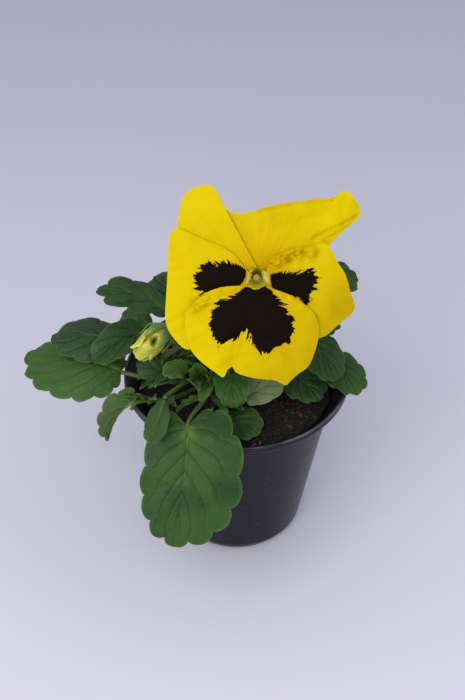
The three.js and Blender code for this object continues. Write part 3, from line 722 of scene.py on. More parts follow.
@dataclass(frozen=True)
class PetalFinish:
    """Finish of a petal: warm yellow with fine lines, and the dark face with a flamed edge. Painted shade
    darkens the lower right, the folds, the crumples and the depth of the throat's lining, and painted light
    pales the throat.
    """

    name: str = "Petal"
    deep: Colour = (0.54, 0.33, 0.0, 1)
    body: Colour = (0.63, 0.46, 0.0, 1)
    edge: Colour = (0.68, 0.54, 0.0, 1)
    # Painted shade toward the lower right of the face.
    painted_lower_right_shade: Colour = (0.4, 0.25, 0.0, 1)
    # fold: painted shade along the folds and in the hollows of the crumples.
    fold: Colour = (0.38, 0.21, 0.0, 1)
    # cup: the throat's own green, and painted shade that makes it strongest deep in the lining.
    cup: Colour = (0.12, 0.15, 0.008, 1)
    # throat: the lemon patch in the throat, made paler as painted light against the shade there.
    throat: Colour = (0.66, 0.57, 0.04, 1)
    dark: Colour = (0.007, 0.004, 0.002, 1)
    rust: Colour = (0.16, 0.05, 0.0, 1)
    roughness: float = 0.55
    sheen: float = 0.04
    mottling: float = 40.0
    relief: float = 0.00012

    def material(self) -> bpy.types.Material:
        """Builds the finish.

        Returns:
            The material.
        """
        material, graph, shader = new_material(self.name)
        streaks = graph.use(Effect.streaks(), X=graph.mark("face_x"), Y=graph.mark("face_y"))
        mottle = graph.use(Effect.mottle(), Scale=self.mottling)
        radius = streaks["Radius"]
        # low grows toward the lower right, where the painted shade lies.
        low = graph.math("ADD", graph.times(graph.mark("face_y"), -1.0), graph.mark("face_x"))
        lines = graph.times(graph.inverse(graph.step(radius, 12.0, 38.0)), 0.3)
        blotch = graph.use(
            Effect.blotch(),
            Distance=graph.mark("blotch"),
            Turn=graph.mark("flare"),
            Radius=graph.mark("ray"),
            Fringe=graph.mark("fringe"),
        )
        front = graph.inverse(graph.times(graph.mark("under"), 0.65))
        mask = graph.times(blotch["Mask"], front)
        rim = graph.times(graph.times(blotch["Rim"], streaks["Line"]), 0.3)
        layers = [
            (graph.times(graph.step(radius, 24.0, 44.0), 0.6), self.edge),
            # Painted shade, deepening toward the lower right.
            (graph.times(graph.step(low, 12.0, 60.0), 0.8), self.painted_lower_right_shade),
            # Lemon throat, paler as painted light.
            (graph.step(radius, 6.0, 3.2), self.throat),
            # The lining's green, with painted shade in its depth.
            (graph.mark("cup"), self.cup),
            # Painted shade where the mark crease is set.
            (graph.times(graph.mark("crease"), 0.42), self.fold),
            (graph.times(streaks["Line"], lines), self.deep),
            (graph.times(mottle["Broad"], 0.2), self.edge),
            (graph.times(rim, front), self.rust),
            (mask, self.dark),
        ]
        colour = graph.layered(graph.mix(graph.step(radius, 5.0, 20.0), self.deep, self.body), layers)
        graph.feed(shader.inputs["Base Color"], colour)
        vary(shader, "Roughness", graph, mottle["Fine"], 0.12, self.roughness)
        vary(shader, "Specular IOR Level", graph, mask, -0.02, self.sheen)
        dent(graph, shader, graph.math("MULTIPLY_ADD", mottle["Fine"], 0.3, streaks["Line"]), self.relief)
        return material


@dataclass(frozen=True)
class Green:
    """Finish of stems, sepals, stipules, the shoot, the pistil and the beards: two mottled tones."""

    name: str
    base: Colour
    tip: Colour
    mottling: float = 90.0
    roughness: float = 0.5
    relief: float = 0.00012

    def material(self) -> bpy.types.Material:
        """Builds the finish.

        Returns:
            The material.
        """
        material, graph, shader = new_material(self.name)
        mottle = graph.use(Effect.mottle(), Scale=self.mottling)
        colour = graph.mix(graph.times(mottle["Broad"], 0.6), self.base, self.tip)
        colour = graph.mix(graph.mark("tip"), colour, self.tip)
        graph.feed(shader.inputs["Base Color"], colour)
        vary(shader, "Roughness", graph, mottle["Fine"], 0.15, self.roughness)
        dent(graph, shader, mottle["Fine"], self.relief)
        return material


@dataclass(frozen=True)
class PotPlastic:
    """Finish of the pot: thin dark plastic with a satin sheen, moulding swirls, rubbed spots, dust specks and
    a painted highlight along the lip.
    """

    name: str = "Pot plastic"
    base: Colour = (0.0095, 0.009, 0.016, 1)
    worn: Colour = (0.03, 0.03, 0.042, 1)
    # Colour of the dust specks and of the painted highlight on the lip.
    dust_and_highlight: Colour = (0.3, 0.29, 0.3, 1)
    # Heights in metres of the lip's painted highlight.
    lip: Flat = (0.0876, 0.089)
    sheen: float = 0.145
    coat: float = 0.06
    coat_roughness: float = 0.12
    mottling: float = 35.0
    relief: float = 0.00003

    def material(self) -> bpy.types.Material:
        """Builds the finish.

        Returns:
            The material.
        """
        material, graph, shader = new_material(self.name)
        mottle = graph.use(Effect.mottle(), Scale=self.mottling)
        place = graph.add("ShaderNodeTexCoord").outputs["Object"]
        flat = graph.add("ShaderNodeMapping", {"Vector": place, "Scale": (1.0, 1.0, 14.0)}).outputs[0]
        bands = graph.noise(flat, 45.0, 4.0)
        scuff = graph.times(graph.step(graph.noise(place, 260.0, 6.0), 0.58, 0.75), mottle["Broad"])
        cells = graph.add("ShaderNodeTexVoronoi", {"Vector": place, "Scale": 330.0}).outputs["Distance"]
        specks = graph.times(graph.inverse(graph.step(cells, 0.05, 0.12)), mottle["Broad"])
        level = graph.add("ShaderNodeSeparateXYZ", {0: place}).outputs["Z"]
        # Painted highlight: a pale line along the lip, broken by the bands.
        lip_highlight = graph.times(graph.step(level, *self.lip), graph.step(bands, 0.35, 0.6))
        layers = [
            (graph.times(scuff, 0.7), self.worn),
            (graph.times(specks, 0.5), self.dust_and_highlight),
            (graph.times(lip_highlight, 0.3), self.dust_and_highlight),
        ]
        graph.feed(shader.inputs["Base Color"], graph.layered(self.base, layers))
        rough = graph.math("ADD", graph.times(bands, 0.16), graph.math("MULTIPLY_ADD", scuff, 0.2, 0.24))
        graph.feed(shader.inputs["Roughness"], rough)
        shader.inputs["Specular IOR Level"].default_value = self.sheen
        shader.inputs["Coat Weight"].default_value = self.coat
        shader.inputs["Coat Roughness"].default_value = self.coat_roughness
        dent(graph, shader, graph.math("MULTIPLY_ADD", bands, 0.5, mottle["Fine"]), self.relief)
        return material


@dataclass(frozen=True)
class Soil:
    """Finish of the compost: dark crumbs, each lump in a tone of its own, with rusty fibres."""

    name: str = "Compost"
    dark: Colour = (0.004, 0.0028, 0.0022, 1)
    brown: Colour = (0.026, 0.015, 0.009, 1)
    rust: Colour = (0.24, 0.115, 0.055, 1)
    roughness: float = 0.8
    mottling: float = 220.0
    relief: float = 0.0006

    def material(self) -> bpy.types.Material:
        """Builds the finish.

        Returns:
            The material.
        """
        material, graph, shader = new_material(self.name)
        mottle = graph.use(Effect.mottle(), Scale=self.mottling)
        layers = [(graph.step(graph.mark("tone"), 0.72, 1.0), self.rust), (mottle["Fine"], self.dark)]
        lump = graph.mix(graph.times(mottle["Broad"], 0.7), self.dark, self.brown)
        graph.feed(shader.inputs["Base Color"], graph.layered(lump, layers))
        vary(shader, "Roughness", graph, mottle["Broad"], 0.15, self.roughness)
        dent(graph, shader, mottle["Fine"], self.relief)
        return material


# ---- Pieces ----


@dataclass
class Part:
    """A sub-assembly. build() makes its objects, and dress() gives them their finish.

    Attributes:
        objects: The objects that build() made.
    """

    objects: list[bpy.types.Object] = field(default_factory=list, init=False)

    def add(
        self, name: str, skin: Skin, node: str | None = None, sharp: float = 45.0, mend: bool = False
    ) -> None:
        """Turns a skin into an object that rides on the frame.

        Args:
            name: The object's name.
            skin: Its shape, in millimetres.
            node: The CAD node that it stands for, if any.
            sharp: Edges that turn by more degrees than this stay crisp.
            mend: Whether the faces still have to be turned outward.
        """
        mesh = bpy.data.meshes.new(name)
        faces = skin.quads.tolist() + skin.tris.tolist()
        mesh.from_pydata((skin.points * MM).tolist(), [], faces)
        if mend:
            shell = bmesh.new()
            shell.from_mesh(mesh)
            bmesh.ops.recalc_face_normals(shell, faces=shell.faces)
            shell.to_mesh(mesh)
        mesh.polygons.foreach_set("use_smooth", [True] * len(faces))
        mesh.set_sharp_from_angle(angle=math.radians(sharp))
        for label, values in skin.marks.items():
            layer = mesh.attributes.new(label, "FLOAT", "POINT")
            layer.data.foreach_set("value", values.astype(np.float32))
        thing = bpy.data.objects.new(name, mesh)
        bpy.context.scene.collection.objects.link(thing)
        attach(thing, "root")
        if node:
            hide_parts(node)
        self.objects.append(thing)
        log.info("%s: %d points", name, len(skin.points))

    def wear(self, index: int, material: bpy.types.Material, slot: str) -> None:
        """Gives one object its material."""
        self.objects[index].data.materials.append(material)


@dataclass
class Pot(Part):
    """The thin nursery pot, with a collar, a rolled lip and drain holes in its floor.

    Attributes:
        outside: Radius and height up the outside, from the foot to the lip.
        inside: Radius and height down the inside, from the lip to the floor.
        floor: Thickness of the floor.
        holes: Number of drain holes, each in a sector of its own.
        circle: Radius of the circle that the holes lie on.
        bore: Radius of a hole.
        band: Inner and outer radius of the ring of floor that the holes are cut in.
        sides: Corners of the pot, a multiple of the number of holes.
    """

    outside: tuple[Flat, ...] = (
        (28.2, 0), (28.65, 0.12), (28.9, 0.5), (31.3, 4.1), (31.55, 4.6), (31.9, 6.4), (38.4, 42.7),
        (44.5, 77.0), (44.65, 77.8), (45.1, 78.3), (46.0, 78.9), (46.5, 79.5), (50.6, 84.7), (51.1, 85.3),
        (51.9, 85.9), (52.3, 86.3), (52.48, 87.0), (52.42, 88.2), (52.25, 88.75), (51.9, 89.0),
    )  # fmt: skip
    inside: tuple[Flat, ...] = (
        (51.4, 89.0), (51.15, 88.8), (51.0, 88.2), (50.95, 87.2), (49.9, 86.2), (49.3, 85.6), (45.0, 80.2),
        (43.8, 79.0), (43.4, 77.4), (37.2, 42.7), (30.8, 6.5), (30.3, 5.0), (29.4, 1.9), (28.9, 1.5),
    )  # fmt: skip
    floor: float = 1.5
    holes: int = 5
    circle: float = 19.0
    bore: float = 3.4
    band: Flat = (13.5, 24.5)
    sides: int = 120

    def ring(self, radius: float, height: float) -> Array:
        """Gives the points of one level."""
        turns = around(self.sides)
        return np.stack([radius * np.cos(turns), radius * np.sin(turns), np.full(self.sides, height)], -1)

    def sector(self, index: int, height: float) -> tuple[Array, Array]:
        """Gives the border of one sector of the floor and the hole in it.

        Args:
            index: Which sector.
            height: The level's height.

        Returns:
            The border's points and the hole's points, as many of each, in the same order.
        """
        span = self.sides // self.holes
        turns = 2 * np.pi * (index * span + np.arange(span + 1)) / self.sides
        low, high = self.band
        radial = np.linspace(low, high, 7)
        polar = [(high, t) for t in turns[:-1]]
        polar += [(r, turns[-1]) for r in radial[:0:-1]]
        polar += [(low, t) for t in turns[:0:-1]]
        polar += [(r, turns[0]) for r in radial[:-1]]
        border = np.array([(r * math.cos(t), r * math.sin(t), height) for r, t in polar])
        middle = (turns[0] + turns[-1]) / 2
        centre = np.array([self.circle * math.cos(middle), self.circle * math.sin(middle), height])
        return border, centre + unit(border - centre) * self.bore

    def build(self) -> None:
        """Makes the pot in one closed piece."""
        low, high = self.band
        profile = [(high, 0.0), *self.outside, *self.inside, (high, self.floor)]
        rows = np.array([self.ring(r, z) for r, z in profile])
        shells = [Skin(rows.reshape(-1, 3), grid_quads(len(profile), self.sides, True))]
        for height, flip in ((0.0, True), (self.floor, False)):
            rim = self.ring(low, height)
            j = np.arange(self.sides)
            fan = np.stack([j, (j + 1) % self.sides, np.full(self.sides, self.sides)], -1)
            fan = fan[:, ::-1] if flip else fan
            shells.append(Skin(np.vstack([rim, [[0, 0, height]]]), np.zeros((0, 4), int), fan))
        for index in range(self.holes):
            loops = []
            for height in (0.0, self.floor):
                border, hole = self.sector(index, height)
                loops += [border, hole] if height == 0.0 else [hole, border]
            rows = np.array(loops)
            shells.append(Skin(rows.reshape(-1, 3), grid_quads(4, rows.shape[1], True)))
        skin = joined(shells)
        _, first, same = np.unique(np.round(skin.points, 4), axis=0, return_index=True, return_inverse=True)
        same = same.ravel()
        skin = Skin(skin.points[first], same[skin.quads], same[skin.tris])
        self.add("pot_body", skin, "pot", sharp=30, mend=True)

    def dress(self) -> None:
        """Gives the pot its dark plastic."""
        self.wear(0, PotPlastic().material(), "pot")


@dataclass
class Compost(Part):
    """The compost with a crumbly top, loose crumbs and fibres.

    Attributes:
        top: Mean height of the top.
        swell: Height of its broad waves.
        walls: Radius and height up the side.
        rim: Radius of the top.
        mound: Centre of the low mound round the shoot.
        sides: Corners of the body.
        rings: Rings of points on the top.
        crumbs: Number of loose lumps.
        crumb: Smallest radius of a lump, and how much larger the largest one is.
        fibres: Number of fibres.
        stride: Length of one span of a fibre.
        girth: Least and greatest radius of a fibre.
    """

    top: float = 81.0
    swell: float = 0.72
    walls: tuple[Flat, ...] = ((28.6, 1.8), (30.3, 5.6), (36.6, 42.7), (42.9, 77.6), (43.3, 79.0))
    rim: float = 43.9
    mound: Flat = (-10.0, 0.0)
    sides: int = 160
    rings: int = 56
    crumbs: int = 2600
    crumb: Flat = (0.28, 1.2)
    fibres: int = 330
    stride: float = 1.9
    girth: Flat = (0.08, 0.2)

    def height(self, x: Array, y: Array) -> Array:
        """Gives the height of the top.

        Args:
            x: Places across.
            y: Places back.

        Returns:
            The heights.
        """
        bumps = np.sin(0.31 * x + 1.3) * np.cos(0.27 * y - 0.4) + 0.5 * np.sin(0.63 * x - 0.55 * y)
        mound = 1.2 * np.exp(-((x - self.mound[0]) ** 2 + (y - self.mound[1]) ** 2) / 260)
        flat = np.stack([x, y, np.zeros_like(x)], -1)
        clods = 0.6 * Grain(7, 8.0, 4)(flat) + 0.6 * np.abs(Grain(9, 3.0, 2)(flat))
        return self.top + self.swell * bumps + mound + clods

    def build(self) -> None:
        """Makes the body of compost and what lies on it."""
        turns = around(self.sides)
        across, back = np.cos(turns), np.sin(turns)
        rows = [np.stack([r * across, r * back, np.full(self.sides, z)], -1) for r, z in self.walls]
        for radius in np.linspace(self.rim, 0.4, self.rings):
            x, y = radius * across, radius * back
            rows.append(np.stack([x, y, self.height(x, y) - (0.8 if radius == self.rim else 0)], -1))
        body = capped(np.array(rows))
        body.marks["tone"] = 0.4 + 0.4 * Grain(3, 3.0)(body.points)
        self.add("compost_body", body, "compost", sharp=180)
        rng = np.random.default_rng(21)
        radius = self.rim * np.sqrt(rng.uniform(0, 1, self.crumbs))
        turn = rng.uniform(0, 2 * np.pi, self.crumbs)
        size = self.crumb[0] + self.crumb[1] * rng.uniform(0, 1, self.crumbs) ** 4.5
        x, y = radius * np.cos(turn), radius * np.sin(turn)
        self.add("compost_crumbs", lumps(np.stack([x, y, self.height(x, y) + 0.25 * size], -1), size, 5))
        threads = []
        for _ in range(self.fibres):
            turn, radius = rng.uniform(0, 2 * np.pi), 0.96 * self.rim * rng.uniform() ** 0.5
            way, bend = rng.uniform(0, 2 * np.pi), rng.normal(0, 0.5)
            knots = [(radius * math.cos(turn), radius * math.sin(turn))]
            for _ in range(4):
                way += bend
                x, y = knots[-1]
                knots.append((x + self.stride * math.cos(way), y + self.stride * math.sin(way)))
            flat = np.array(knots)[: rng.integers(3, 6)]
            flat *= np.minimum(1, 0.98 * self.rim / np.linalg.norm(flat, axis=1))[:, None]
            level = self.height(flat[:, 0], flat[:, 1]) + 0.3 + rng.uniform(0, 0.7, len(flat))
            path = spline(np.column_stack([flat, level]), 4)
            girth = rng.uniform(*self.girth) * np.linspace(1, 0.5, len(path))
            threads.append(tube(path, girth, 5).marked(tone=rng.uniform(0.6, 1)))
        self.add("compost_fibres", joined(threads))

    def dress(self) -> None:
        """Gives the compost its finish."""
        soil = Soil().material()
        for index in range(3):
            self.wear(index, soil, "compost")


@dataclass(frozen=True)
class Shoot:
    """Size of the short shoot that every stalk springs from."""

    x: float = -10.0
    y: float = 0.0
    base: float = 68.0
    top: float = 100.0
    low_radius: float = 5.6
    top_radius: float = 3.6

    def at(self, bearing: float, height: float, reach: float) -> Point:
        """Gives a place round the shoot."""
        turn = math.radians(bearing)
        return self.x + reach * math.cos(turn), self.y + reach * math.sin(turn), height


SHOOT = Shoot()


@dataclass
class Crown(Part):
    """The short shoot, lumpy with the feet of old stalks.

    Attributes:
        levels: Rings of points up the shoot.
        sides: Points in each ring.
    """

    levels: int = 40
    sides: int = 36

    def build(self) -> None:
        """Makes the shoot."""
        turns = around(self.sides)
        rows = []
        for t in np.linspace(0, 1, self.levels):
            radius = SHOOT.low_radius + (SHOOT.top_radius - SHOOT.low_radius) * t**1.4
            swell = 1 + 0.09 * np.cos(3 * turns + 5 * t) + 0.05 * np.sin(5 * turns - 31 * t)
            round_off = math.sqrt(max(0.0, 1 - max(0.0, (t - 0.9) / 0.1) ** 2)) * 0.7 + 0.3
            r = radius * swell * round_off
            z = np.full(self.sides, SHOOT.base + (SHOOT.top - SHOOT.base) * t)
            rows.append(np.stack([SHOOT.x + r * np.cos(turns), SHOOT.y + r * np.sin(turns), z], -1))
        skin = capped(np.array(rows))
        skin.marks["tip"] = smoothstep(skin.points[:, 2], 90, 101)
        self.add("crown_shoot", skin, "crown")

    def dress(self) -> None:
        """Gives the shoot its finish."""
        self.wear(0, Green("Shoot", (0.09, 0.13, 0.03, 1), (0.2, 0.28, 0.06, 1)).material(), "crown")


@dataclass
class Stipules(Part):
    """The narrow lobed leaflets that stand round the shoot at the feet of the stalks.

    Attributes:
        count: Number of leaflets.
        bearings: First and last bearing, in degrees.
        levels: Lowest and highest foot.
        lengths: Shortest and longest leaflet.
        nodes: Places on the stalks that carry a pair of leaflets each.
    """

    count: int = 24
    bearings: Flat = (150.0, 345.0)
    levels: Flat = (89.0, 99.0)
    lengths: Flat = (11.0, 19.0)
    nodes: tuple[Point, ...] = (
        (-30, -20, 90), (-22, -17, 98), (-17, -8, 99), (-12.5, -21, 94), (-20, -7, 95.5), (-26, 1, 103),
        (-32, -10, 92), (-15, -10, 100), (-8, -17, 85), (-38, -24, 92.5), (-28, -11, 97),
    )  # fmt: skip

    def leaflet(self, rng: np.random.Generator, foot: Sequence[float], bearing: float) -> Skin:
        """Makes one leaflet, folded along its rib, arched and lobed.

        Args:
            rng: Where its chances come from.
            foot: Where it is attached.
            bearing: The way that it points, in degrees.

        Returns:
            The closed skin.
        """
        turn, climb = math.radians(bearing), rng.uniform(0.25, 0.95)
        way = np.array([math.cos(turn) * math.cos(climb), math.sin(turn) * math.cos(climb), math.sin(climb)])
        across = unit(np.cross(way, (0.0, 0.0, 1.0)) + rng.normal(0, 0.25, 3))
        normal = np.cross(across, way)
        length = rng.uniform(*self.lengths)
        u, w = shares(40, 15)
        lobes = 0.5 + 0.5 * np.abs(np.sin(3.5 * np.pi * u + rng.uniform(0, 1))) ** 0.8
        half = rng.uniform(0.13, 0.19) * length * np.sin(np.pi * (0.1 + 0.88 * u)) ** 0.8 * lobes
        side = half * w
        lift = 0.45 * np.abs(side) - rng.uniform(0.1, 0.35) * length * u**2 + 0.5 * np.sin(5 * u + 3 * w)
        middle = np.array(foot) + (length * u + 0.25 * np.abs(side))[..., None] * way
        middle = middle + side[..., None] * across + lift[..., None] * normal
        thin = 0.26 - 0.12 * np.abs(w) ** 4 + 0 * u
        return sheet(middle, thin, {"tip": 0.7 * u + 0 * w}, normal)

    def build(self) -> None:
        """Makes the leaflets."""
        rng = np.random.default_rng(12)
        skins = []
        for bearing in np.linspace(*self.bearings, self.count) + rng.normal(0, 5, self.count):
            foot = SHOOT.at(bearing, rng.uniform(*self.levels), SHOOT.top_radius - 0.6)
            skins.append(self.leaflet(rng, foot, bearing))
        for node in self.nodes:
            outward = math.degrees(math.atan2(node[1] - SHOOT.y, node[0] - SHOOT.x))
            for side in (-1, 1):
                skins.append(self.leaflet(rng, node, outward + side * rng.uniform(15, 70)))
        self.add("stipules", joined(skins))

    def dress(self) -> None:
        """Gives the leaflets their green."""
        finish = Green("Stipule", (0.016, 0.05, 0.008, 1), (0.06, 0.135, 0.018, 1))
        self.wear(0, finish.material(), "crown")


@dataclass
class Leaf(Part):
    """One leaf: a crenate blade that folds, cups and waves about a curved rib, and its stalk.

    Attributes:
        name: The CAD node's name.
        tone: Which green it has.
        root: Bearing in degrees and height of the stalk's foot on the shoot.
        via: A point that the stalk passes through.
        rib: The blade's foot, control point and tip.
        half: Half the blade's width.
        face: The way that the upper side looks.
        teeth: Rounded teeth on each side.
        depth: Depth of the cuts between them, as a share of the blade.
        notch: How far the lobes reach back past the foot.
        broad: Where the blade is broadest, as a share of its length.
        lean: How much broader one half is than the other.
        fold: Slope of each half away from the rib.
        cup: Upward bend of the sides.
        wave: Height of the waves along the edge.
        tint: From -1 for a dark, quilted leaf with a painted bluish sheen and painted shade, to 1 for a fresh
            and smooth one.
    """

    name: str
    tone: Tone
    root: Flat
    via: Point
    rib: tuple[Point, Point, Point]
    half: float
    face: Point
    teeth: int = 6
    depth: float = 0.09
    notch: float = 2.5
    broad: float = 0.43
    lean: float = 0.0
    fold: float = 0.12
    cup: float = -0.12
    wave: float = 0.8
    tint: float = 0.0

    ROWS_PER_TOOTH = 12
    COLUMNS = 44
    SLANT = 0.34  # how far a side vein runs toward the tip, as a share of the way round
    CUT = 1.35  # depth of the cuts, as a multiple of those in the solid
    HALF = 0.3  # half the blade's thickness
    STALK = (1.25, 0.8)  # radius of the stalk at its foot and at the blade
    SUNK = ((0.0, -0.8, -1.0), (0.13, 0.0, -2.9))  # the stalk's end: share of the length, extra, height

    def __post_init__(self) -> None:
        """Measures the rib."""
        t = np.linspace(0, 1, 301)[:, None]
        a, b, c = (np.array(p, float) for p in self.rib)
        self.line = (1 - t) ** 2 * a + 2 * t * (1 - t) * b + t**2 * c
        gaps = np.linalg.norm(np.diff(self.line, axis=0), axis=1)
        self.mileage = np.concatenate([[0], np.cumsum(gaps)])
        self.length = float(self.mileage[-1])
        self.ways = unit(np.gradient(self.line, axis=0))

    def edge(self, u: Array) -> tuple[Array, Array]:
        """Follows the outline of the blade from its foot to its tip.

        Args:
            u: Share of the way round.

        Returns:
            Distance along the rib and away from it.
        """
        swing = np.pi * (1 - u)
        middle = self.broad * self.length
        back = middle + self.notch * (1 - np.exp(-(((u + 0.03) / 0.13) ** 2)))
        along = middle + np.where(swing < np.pi / 2, self.length - middle, back) * np.cos(swing)
        away = self.half * np.sin(swing) ** 0.92
        cut = 1 - np.abs(np.sin(np.pi * (self.teeth - 0.5) * u)) ** 0.6
        bite = self.CUT * self.depth * np.minimum(1, 8 * u) * cut
        return middle + (along - middle) * (1 - bite), np.maximum(away * (1 - bite), 0.45)

    def place(self, along: Array, across: Array, u: Array, relief: Array | float = 0.0) -> Array:
        """Puts a point of the flat blade in space.

        Args:
            along: Distance along the rib.
            across: Signed distance from the rib.
            u: Share of the way round the outline, which sets the edge's waves.
            relief: Extra height of the surface.

        Returns:
            The places.
        """
        reached = np.clip(along, 0, self.length)
        centre = np.stack([np.interp(reached, self.mileage, self.line[:, k]) for k in range(3)], -1)
        way = unit(np.stack([np.interp(reached, self.mileage, self.ways[:, k]) for k in range(3)], -1))
        centre = centre + way * (along - reached)[..., None]
        face = np.array(self.face, float)
        normal = unit(face - way * (way @ face)[..., None])
        v = across / self.half
        phase = 2 * np.pi * (1.5 * u + np.where(across > 0, 0.3, 0.0)) + self.half
        lift = self.fold * np.abs(across) + self.cup * v**2 * self.half + self.wave * np.sin(phase) * v**2
        return centre + np.cross(way, normal) * across[..., None] + normal * (lift + relief)[..., None]

    def blade(self) -> Skin:
        """Makes the blade, quilted between its veins and thicker along the rib.

        Returns:
            The closed skin.
        """
        spans = 2 * self.teeth - 1
        u, w = shares(self.ROWS_PER_TOOTH * spans // 2 * 2 + 1, self.COLUMNS + 1)
        v = np.sign(w) * np.abs(w) ** 1.15
        edge_along, edge_away = self.edge(u)
        rib_along = self.length * u**1.5
        along = rib_along + (edge_along - rib_along) * np.abs(v) ** 1.5
        across = edge_away * v * (1 + self.lean * np.sign(v))
        u_all = np.broadcast_to(u, across.shape)
        phase = (self.teeth - 0.5) * (u_all + self.SLANT * (1 - np.abs(v)) ** 1.2)
        offset = np.abs(phase - np.floor(phase) - 0.5)
        flat = np.stack([along, across], -1)
        pitch = np.linalg.norm(np.gradient(flat, axis=0), axis=-1) * (len(u) - 1) / (self.teeth - 0.5)
        pitch = pitch * (1 + 5 * smoothstep(along / self.length, 0.74, 0.93) * (1 - np.abs(v)))
        side = 0.75 * offset * pitch
        scale = min(1.0, self.half / 12)
        reach = np.abs(v) * np.ones_like(across)
        quilt = scale * ((1 - np.exp(-((side / 0.9) ** 2))) * (1 - reach**4) - 0.6)
        crease = smoothstep(self.length * 0.45 - along, 0, 0.4 * self.length)
        groove = -(0.3 + 0.7 * crease) * scale * np.exp(-((across / (1.1 * scale)) ** 2))
        flat3 = np.stack([along, across, along * 0], -1)
        grain = Grain(len(self.name), 14.0)(flat3) * reach + 0.25 * Grain(5, 3.2, 2)(flat3)
        relief = (0.42 - 0.3 * self.tint) * quilt + groove + 0.25 * scale * grain
        curl = 0.5 * scale * np.sin(2 * np.pi * (self.teeth - 0.5) * u_all) * smoothstep(reach, 0.7, 1.0)
        middle = self.place(along, across, u_all, relief + curl)
        half = self.HALF * (1 - 0.6 * np.abs(v) ** 5) * np.ones_like(across)
        slim = 1 - 0.75 * np.clip(along / self.length, 0, 1)
        ridge = 0.75 * scale * slim * np.exp(-((across / (0.6 * scale)) ** 2))
        ridge = ridge + 0.2 * scale * np.exp(-((side / 0.3) ** 2)) * (1 - reach)
        foot = (1 - smoothstep(along / self.length, -0.05, 0.24)) * (1 - smoothstep(reach, 0, 0.35))
        marks = {
            "phase": phase,
            "pitch": 0.75 * pitch,
            "rib": np.abs(across) / (0.5 + 0.5 * slim),
            "reach": reach,
            "foot": foot,
            "tint": self.tint + 0 * reach,
            "along": np.clip(along / self.length, 0, 1) * 0.8,
        }
        return sheet(middle, half, marks, self.face, ridge)

    def build(self) -> None:
        """Makes the blade and its stalk."""
        zero = np.array([0.0])
        sunk = [
            self.place(zero + share * self.length + d, zero, zero, zero + height)[0]
            for share, d, height in self.SUNK
        ]
        path = spline([SHOOT.at(*self.root, SHOOT.top_radius - 0.4), self.via, *sunk], 12)
        stalk = tube(path, np.linspace(*self.STALK, len(path)), 14)
        stalk.marked(phase=0, pitch=9, rib=9, foot=0.4, tint=self.tint)
        self.add(f"{self.name}_blade", joined([self.blade(), stalk]), self.name, sharp=60)

    def dress(self, finish: bpy.types.Material) -> None:
        """Gives the leaf its green."""
        self.wear(0, finish, self.tone.value)


# ---- Flower ----


@dataclass(frozen=True)
class Face:
    """The flower's face: a frame at the throat and the depth that all five petals share."""

    throat: Point = (9.0, -18.0, 157.0)
    elevation: float = math.radians(34)
    layer: float = 1.4
    claw_depth: float = -4.6
    claw_reach: float = 5.0
    claw_half: float = 2.3
    near_ring: float = 3.6
    reflex: float = 0.0021
    funnel: float = 1.2
    ruffle: float = 0.9
    span: float = 43.0

    def place(self, x: Any, y: Any, depth: Any) -> Array:
        """Puts a point of the face in space.

        Args:
            x: Distance to the right.
            y: Distance up the face.
            depth: Distance toward the viewer.

        Returns:
            The places.
        """
        x, y, depth = np.broadcast_arrays(np.asarray(x, float), y, depth)
        up = np.array([0, math.sin(self.elevation), math.cos(self.elevation)])
        out = np.array([0, -math.cos(self.elevation), math.sin(self.elevation)])
        on_face = np.array(self.throat) + x[..., None] * np.array([1.0, 0, 0]) + y[..., None] * up
        return on_face + depth[..., None] * out

    def depth(self, x: Array, y: Array) -> Array:
        """Gives the depth that the petals share, with the fine crumples that they share too.

        Args:
            x: Distances to the right.
            y: Distances up the face.

        Returns:
            The depths.
        """
        radius, turn = np.hypot(x, y), np.arctan2(y, x)
        waves = np.sin(5 * turn + 0.6) + 0.6 * np.sin(9 * turn + 2)
        broad = -self.reflex * radius**2 - self.funnel * np.exp(-((radius / 5) ** 2))
        fan = 0.06 * np.sin(19 * turn + 1.1) + 0.05 * np.sin(33 * turn) + 0.03 * np.sin(57 * turn + 0.4)
        crumple = Grain(11, 17.0, 3)(np.stack([x, y, np.zeros_like(x)], -1))
        grown = smoothstep(radius, 6, 30)
        return broad + self.ruffle * waves * (radius / self.span) ** 2 + (fan + 0.5 * crumple) * grown


FACE = Face()


def beyond(points: Array, outline: Sequence[Flat]) -> Array:
    """Measures how far points lie inside an outline.

    Args:
        points: An (..., 2) array.
        outline: The corners of a closed outline.

    Returns:
        The distance to the outline, below 0 for points outside it.
    """
    a = np.array(outline, float)
    b = np.roll(a, -1, axis=0)
    nearest = np.full(points.shape[:-1], np.inf)
    inside = np.zeros(points.shape[:-1], bool)
    for p, q in zip(a, b):
        t = np.clip(((points - p) @ (q - p)) / ((q - p) @ (q - p)), 0, 1)
        nearest = np.minimum(nearest, np.linalg.norm(points - p - t[..., None] * (q - p), axis=-1))
        crosses = (points[..., 1] < p[1]) != (points[..., 1] < q[1])
        slope = (q[0] - p[0]) / (q[1] - p[1] if q[1] != p[1] else 1e-9)
        inside ^= crosses & (points[..., 0] < p[0] + (points[..., 1] - p[1]) * slope)
    return np.where(inside, nearest, -nearest)


def away_from(x: Array, y: Array, start: Flat, end: Flat) -> Array:
    """Measures the distance to a straight line between two ends.

    Args:
        x: Distances to the right.
        y: Distances up the face.
        start: One end.
        end: The other end.

    Returns:
        The distances.
    """
    dx, dy = end[0] - start[0], end[1] - start[1]
    t = np.clip(((x - start[0]) * dx + (y - start[1]) * dy) / (dx * dx + dy * dy), 0, 1)
    return np.hypot(x - start[0] - t * dx, y - start[1] - t * dy)


